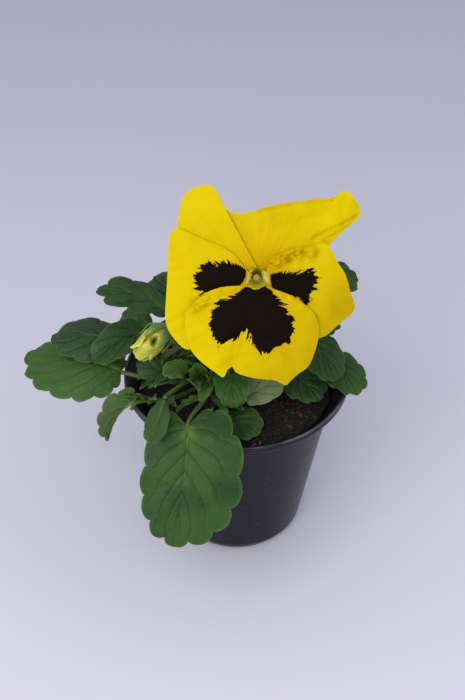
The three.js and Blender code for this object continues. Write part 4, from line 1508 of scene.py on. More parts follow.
@dataclass
class Petal(Part):
    """One petal, a fan from its claw to a curved outline.

    Attributes:
        name: The CAD node's name.
        level: Its place in the stack, from the back.
        claw: Where its claw meets the face.
        curls: Bends of the edge, each with its place, reach and height.
        outline: The outline on the face.
        blotch: Outline of the dark mark on it, if it has one.
        folds: Straight folds, each with its ends, half width, height and painted shade.
        crumples: Crumpled bands, each with its ends, half width and height; their hollows take painted shade.
        flare: Place on the face that the flames of the mark's edge point away from.
        frill: Height of the small waves at the edge.
        cup: Radius of the throat's lining, if this petal carries it.
    """

    name: str
    level: int
    claw: Flat
    curls: tuple[tuple[float, float, float, float], ...]
    outline: tuple[Flat, ...]
    blotch: tuple[Flat, ...] = ()
    flare: Flat = (0.0, 0.0)
    folds: tuple[tuple[Flat, Flat, float, float, float], ...] = ()
    crumples: tuple[tuple[Flat, Flat, float, float], ...] = ()
    frill: float = 0.14
    cup: float = 0.0

    PER_SPAN = 9
    ROWS = 46
    HALF = 0.22  # half the thickness
    PATCH = ((-0.9, -1.6), (3.8, 3.2))  # centre and radii of the plain oval in the throat

    def build(self) -> None:
        """Makes the petal."""
        claw = np.array(self.claw)
        rim = spline(self.outline, self.PER_SPAN)
        columns = len(rim)
        turn = math.atan2(claw[1], claw[0])
        first, third = (math.atan2(*(np.array(self.outline[k]) - claw)[::-1]) for k in (2, 4))
        winding = math.copysign(1, math.sin(third - first))
        shift = FACE.claw_half * np.linspace(-1, 1, columns) * winding
        foot = claw + shift[:, None] * np.array([-math.sin(turn), math.cos(turn)])
        spread = np.linalg.norm(rim - claw, axis=1)
        near = np.minimum(FACE.near_ring / spread, 0.5)
        fine = np.linspace(0, 1, self.ROWS - 2)[:, None] ** 0.9
        reach = np.vstack([np.full((1, columns), 0.04), near[None] * 0.5, near + (1 - near) * fine])
        flat = foot + (rim - foot) * reach[..., None]
        x, y = flat[..., 0], flat[..., 1]
        radius = np.hypot(x, y)
        rise = smoothstep(radius, 1.5, FACE.claw_reach)
        rise[0] = 0
        depth = FACE.depth(x, y) + self.level * FACE.layer
        # crease holds painted shade: along the folds by their shade, and in the hollows of the crumples.
        crease = np.zeros_like(x)
        for cx, cy, size, height in self.curls:
            depth = depth + height * np.exp(-((x - cx) ** 2 + (y - cy) ** 2) / size**2)
        ripple = Grain(31, 6.2, 3)(np.stack([x, y, np.zeros_like(x)], -1))
        for start, end, size, height, shade in self.folds:
            band = np.exp(-((away_from(x, y, start, end) / size) ** 2))
            depth = depth + height * band
            crease = crease + shade * band
        for start, end, size, height in self.crumples:
            band = np.exp(-((away_from(x, y, start, end) / size) ** 2))
            depth = depth + height * (ripple + 0.4) * band
            # Painted shade in the hollows of the crumples.
            crease = crease + 0.6 * smoothstep(-ripple, 0.0, 1.2) * band
        run = np.concatenate([[0], np.cumsum(np.linalg.norm(np.diff(rim, axis=0), axis=1))])
        frill = np.sin(run / 2.1 + self.level) + 0.7 * np.sin(run / 0.93 + 2 * self.level)
        depth = depth + self.frill * frill * smoothstep(reach, 0.8, 1.0) * (spread > 15)
        middle = FACE.place(x, y, FACE.claw_depth + (depth - FACE.claw_depth) * rise)
        half = self.HALF * (1 - 0.55 * smoothstep(reach, 0.8, 1.0)) * np.ones_like(x)
        if self.blotch:
            inside = beyond(flat, self.blotch)
            (px, py), (rx, ry) = self.PATCH
            inside = np.minimum(inside, (np.hypot((x - px) / rx, (y - py) / ry) - 1) * ry)
        else:
            inside = np.full_like(x, -9.0)
        fringe = 0.8 + 6.2 * smoothstep(radius, 4.5, 17)
        axis = np.array(self.blotch or ((1.0, 0.0),)).mean(0) - self.flare
        ahead = (x - self.flare[0]) * axis[0] + (y - self.flare[1]) * axis[1]
        aside = (y - self.flare[1]) * axis[0] - (x - self.flare[0]) * axis[1]
        marks = {
            "face_x": x,
            "face_y": y,
            "blotch": inside,
            "fringe": fringe,
            "flare": np.arctan2(aside, ahead),
            "crease": np.minimum(crease, 1),
            "ray": np.hypot(x - self.flare[0], y - self.flare[1]),
        }
        skin = sheet(middle, half, marks, FACE.place(0, 0, 1) - FACE.place(0, 0, 0))
        if self.cup:
            skin = joined([skin, self.lining()])
        self.add(f"{self.name}_sheet", skin, self.name, sharp=70)

    def lining(self) -> Skin:
        """Makes the cup that lines the throat.

        Returns:
            The closed skin.
        """
        turns = np.linspace(0, 2 * np.pi, 49)[None, :]
        t = np.linspace(0, 1, 16)[:, None]
        radius = self.cup * (0.24 + 0.76 * t**0.8) * (1 + 0.05 * np.cos(3 * turns + 1))
        x, y = radius * np.cos(turns), radius * np.sin(turns)
        rim = 1.3 - 1.6 * np.sin(turns)
        depth = FACE.claw_depth + 0.9 + (rim - FACE.claw_depth - 0.9) * t**1.3
        # The mark cup: green on the upper half of the lining, strongest in the depth, where it is painted
        # shade.
        green = smoothstep(y, -0.6, 1.6) * (1 - 0.8 * smoothstep(t, 0.5, 1.0))
        marks = {"face_x": x, "face_y": y, "blotch": np.full_like(x, -9.0), "cup": green}
        shell = FACE.place(x, y, depth)
        rows = np.concatenate([shell, FACE.place(1.08 * x, 1.08 * y, depth - 0.3)[::-1]])[:, :-1]
        return capped(rows, {name: np.concatenate([m, m[::-1]])[:, :-1] for name, m in marks.items()})

    def dress(self, finish: bpy.types.Material) -> None:
        """Gives the petal its finish."""
        self.wear(0, finish, "petal")


@dataclass
class Throat(Part):
    """The pistil in the throat, and the pale beards on the side petals beside it.

    Attributes:
        stigma: Place of the stigma's middle on the face, and its depth.
        ball: Radius of the stigma.
        style: Radius of the style below the stigma.
        hairs: Hairs in each beard.
        hair: Radii along a hair, from its foot to its tip.
        BEARDS: The line of each beard on the face, and its thickness.
    """

    stigma: Point = (-0.7, 0.3, 2.0)
    ball: float = 1.55
    style: float = 0.65
    hairs: int = 170
    hair: tuple[float, ...] = (0.13, 0.12, 0.11, 0.13)

    BEARDS = {
        "beard_left": (((-3.0, 3.7), (-3.9, 1.8), (-4.3, -0.3), (-5.3, -2.6)), 0.65),
        "beard_right": (((1.9, 3.0), (3.0, 1.6), (3.7, -0.2), (4.6, -2.3)), 1.45),
    }

    def build(self) -> None:
        """Makes the pistil and the beards."""
        x, y, depth = self.stigma
        path = spline([FACE.place(0, 0.9, FACE.claw_depth + 0.2), FACE.place(x, y, depth - 0.8)], 10)
        style = tube(path, np.full(len(path), self.style), 16)
        turns = around(28)
        rows = []
        for tilt in np.linspace(0.12, math.pi - 0.12, 20):
            dimple = 0.55 * math.exp(-((tilt / 0.45) ** 2))
            r = self.ball * math.sin(tilt) * (1 + 0.06 * np.cos(5 * turns))
            height = depth + self.ball * (math.cos(tilt) - dimple)
            rows.append(FACE.place(x + r * np.cos(turns), y + r * np.sin(turns), height))
        head = capped(np.array(rows))
        gap = np.linalg.norm(head.points - FACE.place(x, y, depth + self.ball), axis=1)
        head.marks["tip"] = 0.5 * smoothstep(gap, 1.0, 0.2)
        self.add("pistil_head", joined([style, head]), "pistil")
        rng = np.random.default_rng(4)
        for name, (line, girth) in self.BEARDS.items():
            ridge = spline(line, 7)
            level = 2 * FACE.layer - FACE.funnel * np.exp(-((np.hypot(*ridge.T) / 5) ** 2))
            body = np.sin(np.pi * np.linspace(0.12, 0.88, len(ridge)))
            threads = [tube(FACE.place(*ridge.T, level), girth * body, 14)]
            for _ in range(self.hairs):
                k = rng.integers(1, len(ridge) - 1)
                turn = rng.uniform(0.15, math.pi - 0.15)
                hx, hy = ridge[k] + rng.normal(0, 0.2, 2) + (0.8 * girth * body[k] * math.cos(turn), 0)
                base = level[k] + 0.8 * girth * body[k] * math.sin(turn)
                tip = (hx * rng.uniform(0.86, 0.97), hy + rng.normal(0, 0.25), base + rng.uniform(0.2, 0.55))
                path = np.linspace(FACE.place(hx, hy, base - 0.3), FACE.place(*tip), 4)
                threads.append(tube(path, np.array(self.hair), 5, {"tip": 0.8}))
            self.add(name, joined(threads))

    def dress(self) -> None:
        """Gives the pistil and the beards their finishes."""
        self.wear(0, Green("Pistil", (0.16, 0.2, 0.012, 1), (0.36, 0.34, 0.03, 1)).material(), "pistil")
        beard = Green("Beard", (0.54, 0.46, 0.045, 1), (0.6, 0.52, 0.1, 1)).material()
        for index in (1, 2):
            self.wear(index, beard, "petal")


def sepal(turn: float, length: float, half: float, depth: float) -> Skin:
    """Makes a pointed sepal behind the petals, with a short ear at its foot.

    Args:
        turn: Its bearing on the face.
        length: Its length.
        half: Half its width.
        depth: Its depth on the face.

    Returns:
        The closed skin.
    """
    u, w = shares(30, 13)
    across = half * w * np.sin(np.pi * np.minimum(0.985, 0.18 + 0.81 * u)) * (1 + 0.03 * np.sin(31 * u))
    along = -2 + (length + 2) * u + 0 * w
    sag = depth - 0.0035 * along**2 - 0.04 * across**2 + 0.25 * np.exp(-((w / 0.25) ** 2)) * (1 - u)
    c, s = math.cos(turn), math.sin(turn)
    middle = FACE.place(along * c - across * s, along * s + across * c, sag)
    top = FACE.place(0, 0, 1) - FACE.place(0, 0, 0)
    return sheet(middle, 0.3 - 0.18 * np.abs(w) ** 4 + 0 * u, {"tip": 0.5 * u**2 + 0 * w}, top)


@dataclass
class FlowerStem(Part):
    """The long flower stem with its crook, its receptacle and five sepals.

    Attributes:
        knots: Points of the stem between the shoot and the crook.
        girths: Radius at the shoot and at the flower.
        receptacle: Radius and depth along the receptacle, from the stem to the petals.
        sepals: Number of sepals.
        reach: Length and half width of a sepal.
    """

    knots: tuple[Point, ...] = ((-9.4, 1, 99.0), (-8, 6, 116), (-1, 10, 136), (5, 13, 150))
    girths: Flat = (1.5, 1.3)
    receptacle: tuple[Flat, ...] = (
        (1.4, -3.2), (2.1, -2.7), (2.5, -1.9), (3.0, -1.0), (3.45, -0.35), (3.5, -0.05), (3.1, 0.0),
    )  # fmt: skip
    sepals: int = 5
    reach: Flat = (15.0, 2.6)

    def build(self) -> None:
        """Makes the stem."""
        back = FACE.claw_depth - 0.6
        path = spline([*self.knots, FACE.place(0, 6, back - 9), FACE.place(0, 0, back - 1.6)], 16)
        radii = np.linspace(*self.girths, len(path)) * (1 + 0.03 * np.sin(np.arange(len(path)) / 3))
        skins = [tube(path, radii, 18)]
        turns = around(32)
        rows = [FACE.place(r * np.cos(turns), r * np.sin(turns), back + z) for r, z in self.receptacle]
        skins.append(capped(np.array(rows)))
        for k in range(self.sepals):
            skins.append(sepal(math.pi / 2 + 2 * math.pi * (k + 0.5) / self.sepals, *self.reach, back - 1.9))
        self.add("flower_stem_long", joined(skins), "flower_stem")

    def dress(self, finish: bpy.types.Material) -> None:
        """Gives the stem its finish."""
        self.wear(0, finish, "stem")


# ---- Bud ----


@dataclass
class Bud(Part):
    """The furled bud with its stem, calyx and sepals.

    Attributes:
        seat: Where the petals leave the calyx.
        tip: The far end of the furled petals.
        radius: Their greatest radius.
        hollow: Depth of the tip's mouth as a share of the length.
        mouth: The way that the open side of the roll looks.
        folds: Number of loose petals rolled round the body.
        knots: Points of the stem.
        girths: Radius of the stem at the shoot and at the bud.
        calyx: Radius and place along the calyx.
        sepals: Number of sepals.
    """

    seat: Point = (-31.5, -11.0, 124.5)
    tip: Point = (-43.5, -20.5, 115.5)
    radius: float = 5.2
    hollow: float = 0.3
    mouth: Point = (0.2, -0.78, 0.6)
    folds: int = 3
    knots: tuple[Point, ...] = ((-12.6, -1, 99.0), (-19, -4, 108), (-27, -5.5, 121))
    girths: Flat = (1.3, 1.15)
    calyx: tuple[Flat, ...] = ((1.1, -4.4), (1.7, -3.6), (1.95, -2.6), (1.9, -1.5), (1.4, -0.6), (0.7, -0.4))
    sepals: int = 5

    def __post_init__(self) -> None:
        """Sets up the bud's own frame."""
        self.origin = np.array(self.seat)
        self.axis = unit(np.array(self.tip) - self.origin)
        self.length = float(np.linalg.norm(np.array(self.tip) - self.origin))
        self.side = unit(np.cross((0, 0, 1), self.axis))
        self.up = np.cross(self.axis, self.side)
        self.facing = math.atan2(self.up @ np.array(self.mouth), self.side @ np.array(self.mouth))

    def place(self, along: Any, turn: Any, radius: Any) -> Array:
        """Puts a point of the bud in space.

        Args:
            along: Distance from the seat.
            turn: Angle round the axis.
            radius: Distance from the axis.

        Returns:
            The places.
        """
        along, turn, radius = np.broadcast_arrays(np.asarray(along, float), turn, radius)
        ring = np.cos(turn)[..., None] * self.side + np.sin(turn)[..., None] * self.up
        return self.origin + along[..., None] * self.axis + radius[..., None] * ring

    def body(self) -> Skin:
        """Makes the furled body with its open mouth.

        Returns:
            The closed skin.
        """
        levels = spline(
            [
                (0, 0.3), (0.06, 0.52), (0.2, 0.8), (0.4, 0.93), (0.6, 0.94), (0.8, 0.8), (0.93, 0.6),
                (0.98, 0.5), (0.97, 0.4), (0.82, 0.34), (1 - self.hollow, 0.2),
            ],
            5,
        )  # fmt: skip
        turns = around(72)
        rows, mouth_shades = [], []
        for step, (t, swell) in enumerate(levels):
            fold = 1 + 0.14 * np.cos(3 * turns - 4 * t) * math.sin(math.pi * min(1, max(0, t + 0.1)))
            fold += 0.035 * np.cos(9 * turns - 9 * t)
            lean = self.length * t + 1.6 * t * np.cos(turns - 0.8)
            away = (np.mod(turns - self.facing + np.pi, 2 * np.pi) - np.pi) * self.radius
            gap = np.hypot(self.length * (t - 0.42) / 1.7 + 0.25 * away, away / 1.7)
            outer = 1.0 if step < 0.72 * len(levels) else 0.0
            dip = outer * (1.1 * np.exp(-(((gap - 1.55) / 0.42) ** 2)) - 3.6 * np.exp(-(gap**2)))
            rows.append(self.place(lean, turns, np.maximum(self.radius * swell * fold + dip, 0.5)))
            # Painted shade inside the hollow and in the dip of the mouth.
            mouth_shades.append(np.maximum(1 - outer, np.exp(-(gap**4))))
        return capped(np.array(rows), {"inner": np.array(mouth_shades)})

    def roll(self, index: int) -> Skin:
        """Makes one loose petal rolled round the body, its lip waved and turned out.

        Args:
            index: Which petal.

        Returns:
            The closed skin.
        """
        u, w = shares(34, 41)
        start = self.facing + math.pi / 2 + math.pi * index / (self.folds - 1)
        turn = start + (0.95 * w) * (0.65 + 0.35 * u)
        along = self.length * (0.12 + (0.84 + 0.1 * math.sin(2.3 * index)) * u * (1 - 0.16 * np.abs(w) ** 3))
        along = along + 0.5 * np.sin(9 * w + index) * u**3
        swell = np.sin(np.pi * np.clip(0.16 + 0.62 * u, 0, 1)) ** 0.7
        wrap = 0.09 * w * (1 if index % 2 else -1)
        radius = self.radius * (swell * (1.0 + 0.05 * np.sin(5 * w + index)) + wrap)
        radius = radius + (0.9 + 0.5 * np.sin(7 * w + 2 * index)) * smoothstep(u, 0.78, 1.0)
        thin = 0.24 - 0.12 * smoothstep(u, 0.7, 1.0) + 0 * w
        marks = {"lip": smoothstep(u, 0.6, 1.0) + 0 * w}
        return sheet(self.place(along, turn, radius), thin, marks, self.place(0, start, 1) - self.origin)

    def stem(self) -> Skin:
        """Makes the stem, the calyx and five sepals.

        Returns:
            The closed skins in one.
        """
        path = spline([*self.knots, self.place(-6.5, 0, 0), self.place(-1.2, 0, 0)], 14)
        skins = [tube(path, np.linspace(*self.girths, len(path)), 16)]
        turns = around(24)
        skins.append(capped(np.array([self.place(z, turns, r) for r, z in self.calyx])))
        u, w = shares(30, 11)
        for k in range(self.sepals):
            turn = 2 * math.pi * (k + 0.25) / self.sepals
            along = -6 + 15.5 * u + 0 * w
            swell = smoothstep(along, -2.5, 4.5)
            radius = 0.9 + (self.radius * 1.14 - 0.15) * swell + np.maximum(0, -3 - along) * 0.5
            half = 2.2 * np.sin(np.pi * (0.14 + 0.83 * u)) ** 0.8 + 0.1
            radius = radius - 0.25 * np.abs(w) ** 2 + 0.3 * np.exp(-((w / 0.3) ** 2)) * (1 - u)
            bearing = turn + half * w / np.maximum(radius, 2.4)
            thin = 0.28 - 0.14 * np.abs(w) ** 4 + 0 * u
            tip = {"tip": 0.4 * u**2 + 0 * w}
            outward = self.place(0, turn, 1) - self.origin
            skins.append(sheet(self.place(along, bearing, radius), thin, tip, outward))
        return joined(skins)

    def build(self) -> None:
        """Makes the bud and its stem."""
        petals = joined([self.body(), *(self.roll(k) for k in range(self.folds))])
        self.add("bud_furled", petals, "bud_petals", sharp=60)
        self.add("bud_stem_long", self.stem(), "bud_stem")

    def dress(self, finish: bpy.types.Material) -> None:
        """Gives the bud and its stem their finishes."""
        self.wear(0, BudFinish().material(), "bud")
        self.wear(1, finish, "stem")


@dataclass(frozen=True)
class BudFinish:
    """Finish of the furled petals: pale yellow-green, streaked, with painted shade in the mouth."""

    name: str = "Bud petals"
    base: Colour = (0.44, 0.44, 0.035, 1)
    lip: Colour = (0.72, 0.68, 0.11, 1)
    # Painted shade in the bud's hollow mouth.
    mouth: Colour = (0.04, 0.05, 0.004, 1)
    roughness: float = 0.5
    mottling: float = 200.0
    relief: float = 0.00015

    def material(self) -> bpy.types.Material:
        """Builds the finish.

        Returns:
            The material.
        """
        material, graph, shader = new_material(self.name)
        mottle = graph.use(Effect.mottle(), Scale=self.mottling)
        layers = [(graph.mark("lip"), self.lip), (graph.mark("inner"), self.mouth)]
        petal = graph.mix(graph.times(mottle["Broad"], 0.5), self.base, self.lip)
        graph.feed(shader.inputs["Base Color"], graph.layered(petal, layers))
        vary(shader, "Roughness", graph, mottle["Fine"], 0.15, self.roughness)
        dent(graph, shader, mottle["Fine"], self.relief)
        return material


# ---- Studio ----


@dataclass(frozen=True)
class Lamp:
    """A soft square light that looks at the plant.

    Attributes:
        name: Its name.
        place: Where it is, in metres.
        size: Its side, in metres.
        power: Its power in watts.
        colour: Its colour.
    """

    name: str
    place: Point
    size: float
    power: float
    colour: Point


@dataclass
class Studio:
    """The camera, the pale floor and the soft light.

    Attributes:
        target: What the camera looks at, in millimetres.
        distance: Distance of the camera.
        elevation: Degrees that it looks down.
        lens: Focal length for the 36 mm side.
        floor: Half the side of the floor, in metres.
        lamps: The lights.
        sky: Colour of the light from all round.
        sky_power: Its strength.
    """

    target: Point = (-1.9, 0.0, 102.1)
    distance: float = 650.0
    elevation: float = 39.9
    lens: float = 72.7
    floor: float = 2.5
    lamps: tuple[Lamp, ...] = (
        Lamp("key", (-0.5, -1.0, 1.05), 1.2, 14.0, (1.0, 0.985, 0.965)),
        Lamp("fill", (0.95, -0.5, 0.9), 0.9, 2.0, (0.95, 0.97, 1.0)),
    )
    sky: Colour = (0.86, 0.87, 0.98, 1)
    sky_power: float = 0.7

    def build(self) -> None:
        """Sets up the camera, the floor and the lights."""
        scene = bpy.context.scene
        tilt = math.radians(self.elevation)
        target = Vector(self.target) * MM
        away = Vector((0, -math.cos(tilt), math.sin(tilt))) * self.distance * MM
        data = bpy.data.cameras.new("Camera")
        data.lens, data.sensor_width, data.clip_start = self.lens, 36.0, 0.01
        camera = bpy.data.objects.new("Camera", data)
        camera.location = target + away
        camera.rotation_euler = (-away).to_track_quat("-Z", "Y").to_euler()
        scene.collection.objects.link(camera)
        scene.camera = camera
        mesh = bpy.data.meshes.new("floor")
        corners = [(x * self.floor, y * self.floor, 0) for x, y in ((-1, -1), (1, -1), (1, 1), (-1, 1))]
        mesh.from_pydata(corners, [], [(0, 1, 2, 3)])
        mesh.materials.append(Backdrop().material())
        floor = bpy.data.objects.new("floor", mesh)
        scene.collection.objects.link(floor)
        for lamp in self.lamps:
            self.light(lamp)
        world = bpy.data.worlds.new("Sky")
        world.use_nodes = True
        world.node_tree.nodes["Background"].inputs["Color"].default_value = self.sky
        world.node_tree.nodes["Background"].inputs["Strength"].default_value = self.sky_power
        scene.world = world
        scene.view_settings.view_transform = "Standard"

    def light(self, lamp: Lamp) -> None:
        """Adds a light.

        Args:
            lamp: What it is like.
        """
        data = bpy.data.lights.new(lamp.name, "AREA")
        data.size, data.energy, data.color = lamp.size, lamp.power, lamp.colour
        thing = bpy.data.objects.new(lamp.name, data)
        thing.location = lamp.place
        away = Vector(self.target) * MM - Vector(lamp.place)
        thing.rotation_euler = away.to_track_quat("-Z", "Y").to_euler()
        bpy.context.scene.collection.objects.link(thing)


@dataclass(frozen=True)
class Backdrop:
    """Finish of the pale floor, with painted shade that darkens it toward the back."""

    name: str = "Floor"
    near: Colour = (0.7, 0.69, 0.775, 1)
    # far: painted shade toward the back of the floor.
    far: Colour = (0.455, 0.447, 0.535, 1)
    reach: Flat = (-0.2, 0.75)
    roughness: float = 0.75

    def material(self) -> bpy.types.Material:
        """Builds the finish.

        Returns:
            The material.
        """
        material, graph, shader = new_material(self.name)
        place = graph.add("ShaderNodeTexCoord").outputs["Object"]
        back = graph.add("ShaderNodeSeparateXYZ", {0: place}).outputs["Y"]
        wander = graph.math("MULTIPLY_ADD", graph.noise(place, 5.0), 0.06, back)
        # Painted shade: the floor darkens from near to far along Y.
        colour = graph.mix(graph.step(wander, *self.reach), self.near, self.far)
        graph.feed(shader.inputs["Base Color"], colour)
        shader.inputs["Roughness"].default_value = self.roughness
        return material


# ---- The plant ----

MATURE, YOUNG, PALE = Tone.MATURE, Tone.YOUNG, Tone.PALE

LEAVES = [
    Leaf("leaf_front_large", MATURE, (-106, 89), (-12.5, -21, 94),
         ((-21.5, -50, 101), (-20.5, -66, 94), (-28, -80, 57)), 22.5, (0, -0.75, 0.66), teeth=7, depth=0.08,
         notch=15, lean=-0.15, fold=0.06, wave=1.2),
    Leaf("leaf_left_outer", MATURE, (200, 86), (-32, -10, 92),
         ((-53, -7.5, 96), (-72.5, -4, 104), (-99, 7.5, 92)), 19.5, (0.05, -0.2, 1), teeth=7, depth=0.07,
         notch=5, fold=-0.22, tint=0.9),
    Leaf("leaf_left_upper", MATURE, (184, 91), (-35, 3, 99),
         ((-52, 3, 104.5), (-67, 4, 111), (-85.5, 4, 105)), 13, (-0.1, -0.2, 1), teeth=5, depth=0.07,
         fold=-0.15, tint=-0.8),
    Leaf("leaf_left_folded", MATURE, (178, 95), (-26, 1, 103),
         ((-43, 2, 111), (-53, -6, 114), (-64.5, -14, 106.5)), 8.5, (-0.15, -0.6, 0.85), teeth=5, depth=0.05,
         fold=0.4, cup=0, tint=-0.7),
    Leaf("leaf_back_left_lobed", MATURE, (128, 92), (-20, 13, 102),
         ((-33, 18, 112), (-49, 18, 125), (-65, 21, 120)), 10.5, (0.1, -0.2, 1), teeth=4, depth=0.16, notch=1,
         tint=-0.5),
    Leaf("leaf_back_left_dark", MATURE, (116, 89), (-19, 14, 95),
         ((-27.5, 26, 103), (-32.5, 35, 114), (-37.5, 46, 111)), 13, (-0.1, -0.45, 0.9), depth=0.07,
         tint=-0.8),
    Leaf("leaf_young_light", YOUNG, (150, 98.5), (-26, 8, 100),
         ((-42, 11.5, 101), (-46.5, 14, 106.5), (-52.5, 27, 104)), 7.5, (-0.3, -0.5, 1), teeth=4, depth=0.07),
    Leaf("leaf_back_right", MATURE, (45, 92.3), (14, 22, 101),
         ((35, 37, 107), (46, 40, 115), (58, 46, 109.5)), 12, (0.1, -0.3, 1), teeth=5, depth=0.08),
    Leaf("leaf_right_front", MATURE, (2, 95), (12, 3, 101),
         ((31.5, 5, 105), (38.5, -5, 109), (44.5, -18, 98.5)), 10.5, (0.3, -0.45, 1), depth=0.06, tint=-0.4),
    Leaf("leaf_right_outer", MATURE, (12, 88), (14, 4, 91), ((38, 2, 94.5), (48, -5, 99.5), (55, -19, 91.5)),
         11.5, (0.2, -0.2, 1), depth=0.07),
    Leaf("leaf_right_low", MATURE, (-22, 86.6), (6, -4.6, 87.2),
         ((25, -3, 88.5), (31, -10, 93.5), (38, -18, 87)), 10.5, (0.05, -0.2, 1), teeth=5, depth=0.08,
         tint=-0.8),
    Leaf("leaf_pale", PALE, (-58, 92), (-3, -14, 93), ((4, -24.5, 95), (11.5, -21, 99), (21.5, -16.5, 98)),
         7.5, (-0.1, -0.6, 0.8), teeth=4, depth=0.06),
    Leaf("leaf_centre_curled", MATURE, (-60, 96.5), (-6, -11, 101),
         ((-3.5, -18, 103), (-2, -30, 107), (-1, -35, 98)), 8.2, (0.1, -0.7, 0.75), depth=0.07, cup=0.1,
         tint=0.3),
    Leaf("leaf_centre_round", MATURE, (-84, 85), (-8, -17, 85),
         ((-4.5, -28, 86), (2.5, -34, 89.5), (10, -40, 86.5)), 9, (0, -0.3, 1), teeth=5, depth=0.06,
         tint=-0.3),
    Leaf("leaf_young_curled", YOUNG, (-126, 98), (-15, -10, 100),
         ((-16, -18, 101.5), (-17.5, -22.5, 106), (-18, -22, 113)), 4.5, (0.2, -1, 0.2), teeth=4, depth=0.07,
         fold=0.35, cup=0.2, notch=0.5),
    Leaf("leaf_left_hanging", YOUNG, (226, 85), (-30, -20, 90),
         ((-46, -27, 94.5), (-54.6, -30, 93), (-58.3, -37, 79.7)), 5.4, (-0.77, 0.63, 0.05), teeth=6,
         depth=0.11, notch=6, fold=0.3, cup=1.1, wave=0.9, tint=-0.4),
    Leaf("leaf_spatulate", MATURE, (246, 93.5), (-22, -17, 98),
         ((-31.8, -38, 105.7), (-32.8, -55, 111.7), (-37, -67, 106.3)), 5, (-0.1, 0.7, -0.7), teeth=5,
         depth=0.07, notch=0, broad=0.64, fold=0.4, wave=1.5, tint=-0.3),
    Leaf("leaf_back_low", MATURE, (99, 86.4), (-12.4, 20.5, 92.4),
         ((-14, 38, 97), (-15, 48, 102), (-17, 62, 94)), 12, (0, 0.2, 1), teeth=5, depth=0.08),
    Leaf("leaf_back_middle", MATURE, (78, 91), (-5, 16, 98), ((2, 30, 104), (6, 40, 110), (11, 54, 104)),
         12.5, (0, 0.2, 1), depth=0.07),
    Leaf("leaf_back_outer", MATURE, (62, 87), (6, 22, 92), ((20, 42, 96.5), (26, 52, 101), (34, 62, 91)), 13,
         (0, 0.25, 1), depth=0.07),
    Leaf("leaf_right_back", MATURE, (32, 85), (12, 14, 88), ((30, 24, 93), (40, 29, 97), (49, 35, 92)), 9.5,
         (0.1, 0, 1), teeth=5, depth=0.08),
    Leaf("leaf_small_cup", YOUNG, (-99, 96.5), (-11.5, -12, 99),
         ((-13, -21, 100.5), (-14, -31, 105.5), (-16, -35, 101.5)), 3.2, (0.1, -0.5, 0.9), teeth=3,
         depth=0.06, cup=0.4, notch=0.5),
    Leaf("leaf_small_side", YOUNG, (-40, 99), (-6, -6, 103), ((-4, -12, 106), (-4, -18, 110), (-5, -18, 113)),
         4, (0, -1, 0.4), teeth=3, depth=0.06, notch=0.5),
    Leaf("leaf_small_left", YOUNG, (-150, 95.5), (-17, -8, 99),
         ((-23, -15, 102), (-27, -17, 107), (-33, -20, 104)), 4.6, (0, -0.6, 0.8), teeth=4, depth=0.08,
         cup=0.3, notch=0.5),
    Leaf("leaf_small_bud", MATURE, (214, 90), (-20, -7, 95.5),
         ((-30, -12, 98), (-38, -15, 104), (-45, -10, 104)), 7, (-0.1, -0.6, 0.8), teeth=4, depth=0.09,
         tint=-0.5),
]  # fmt: skip

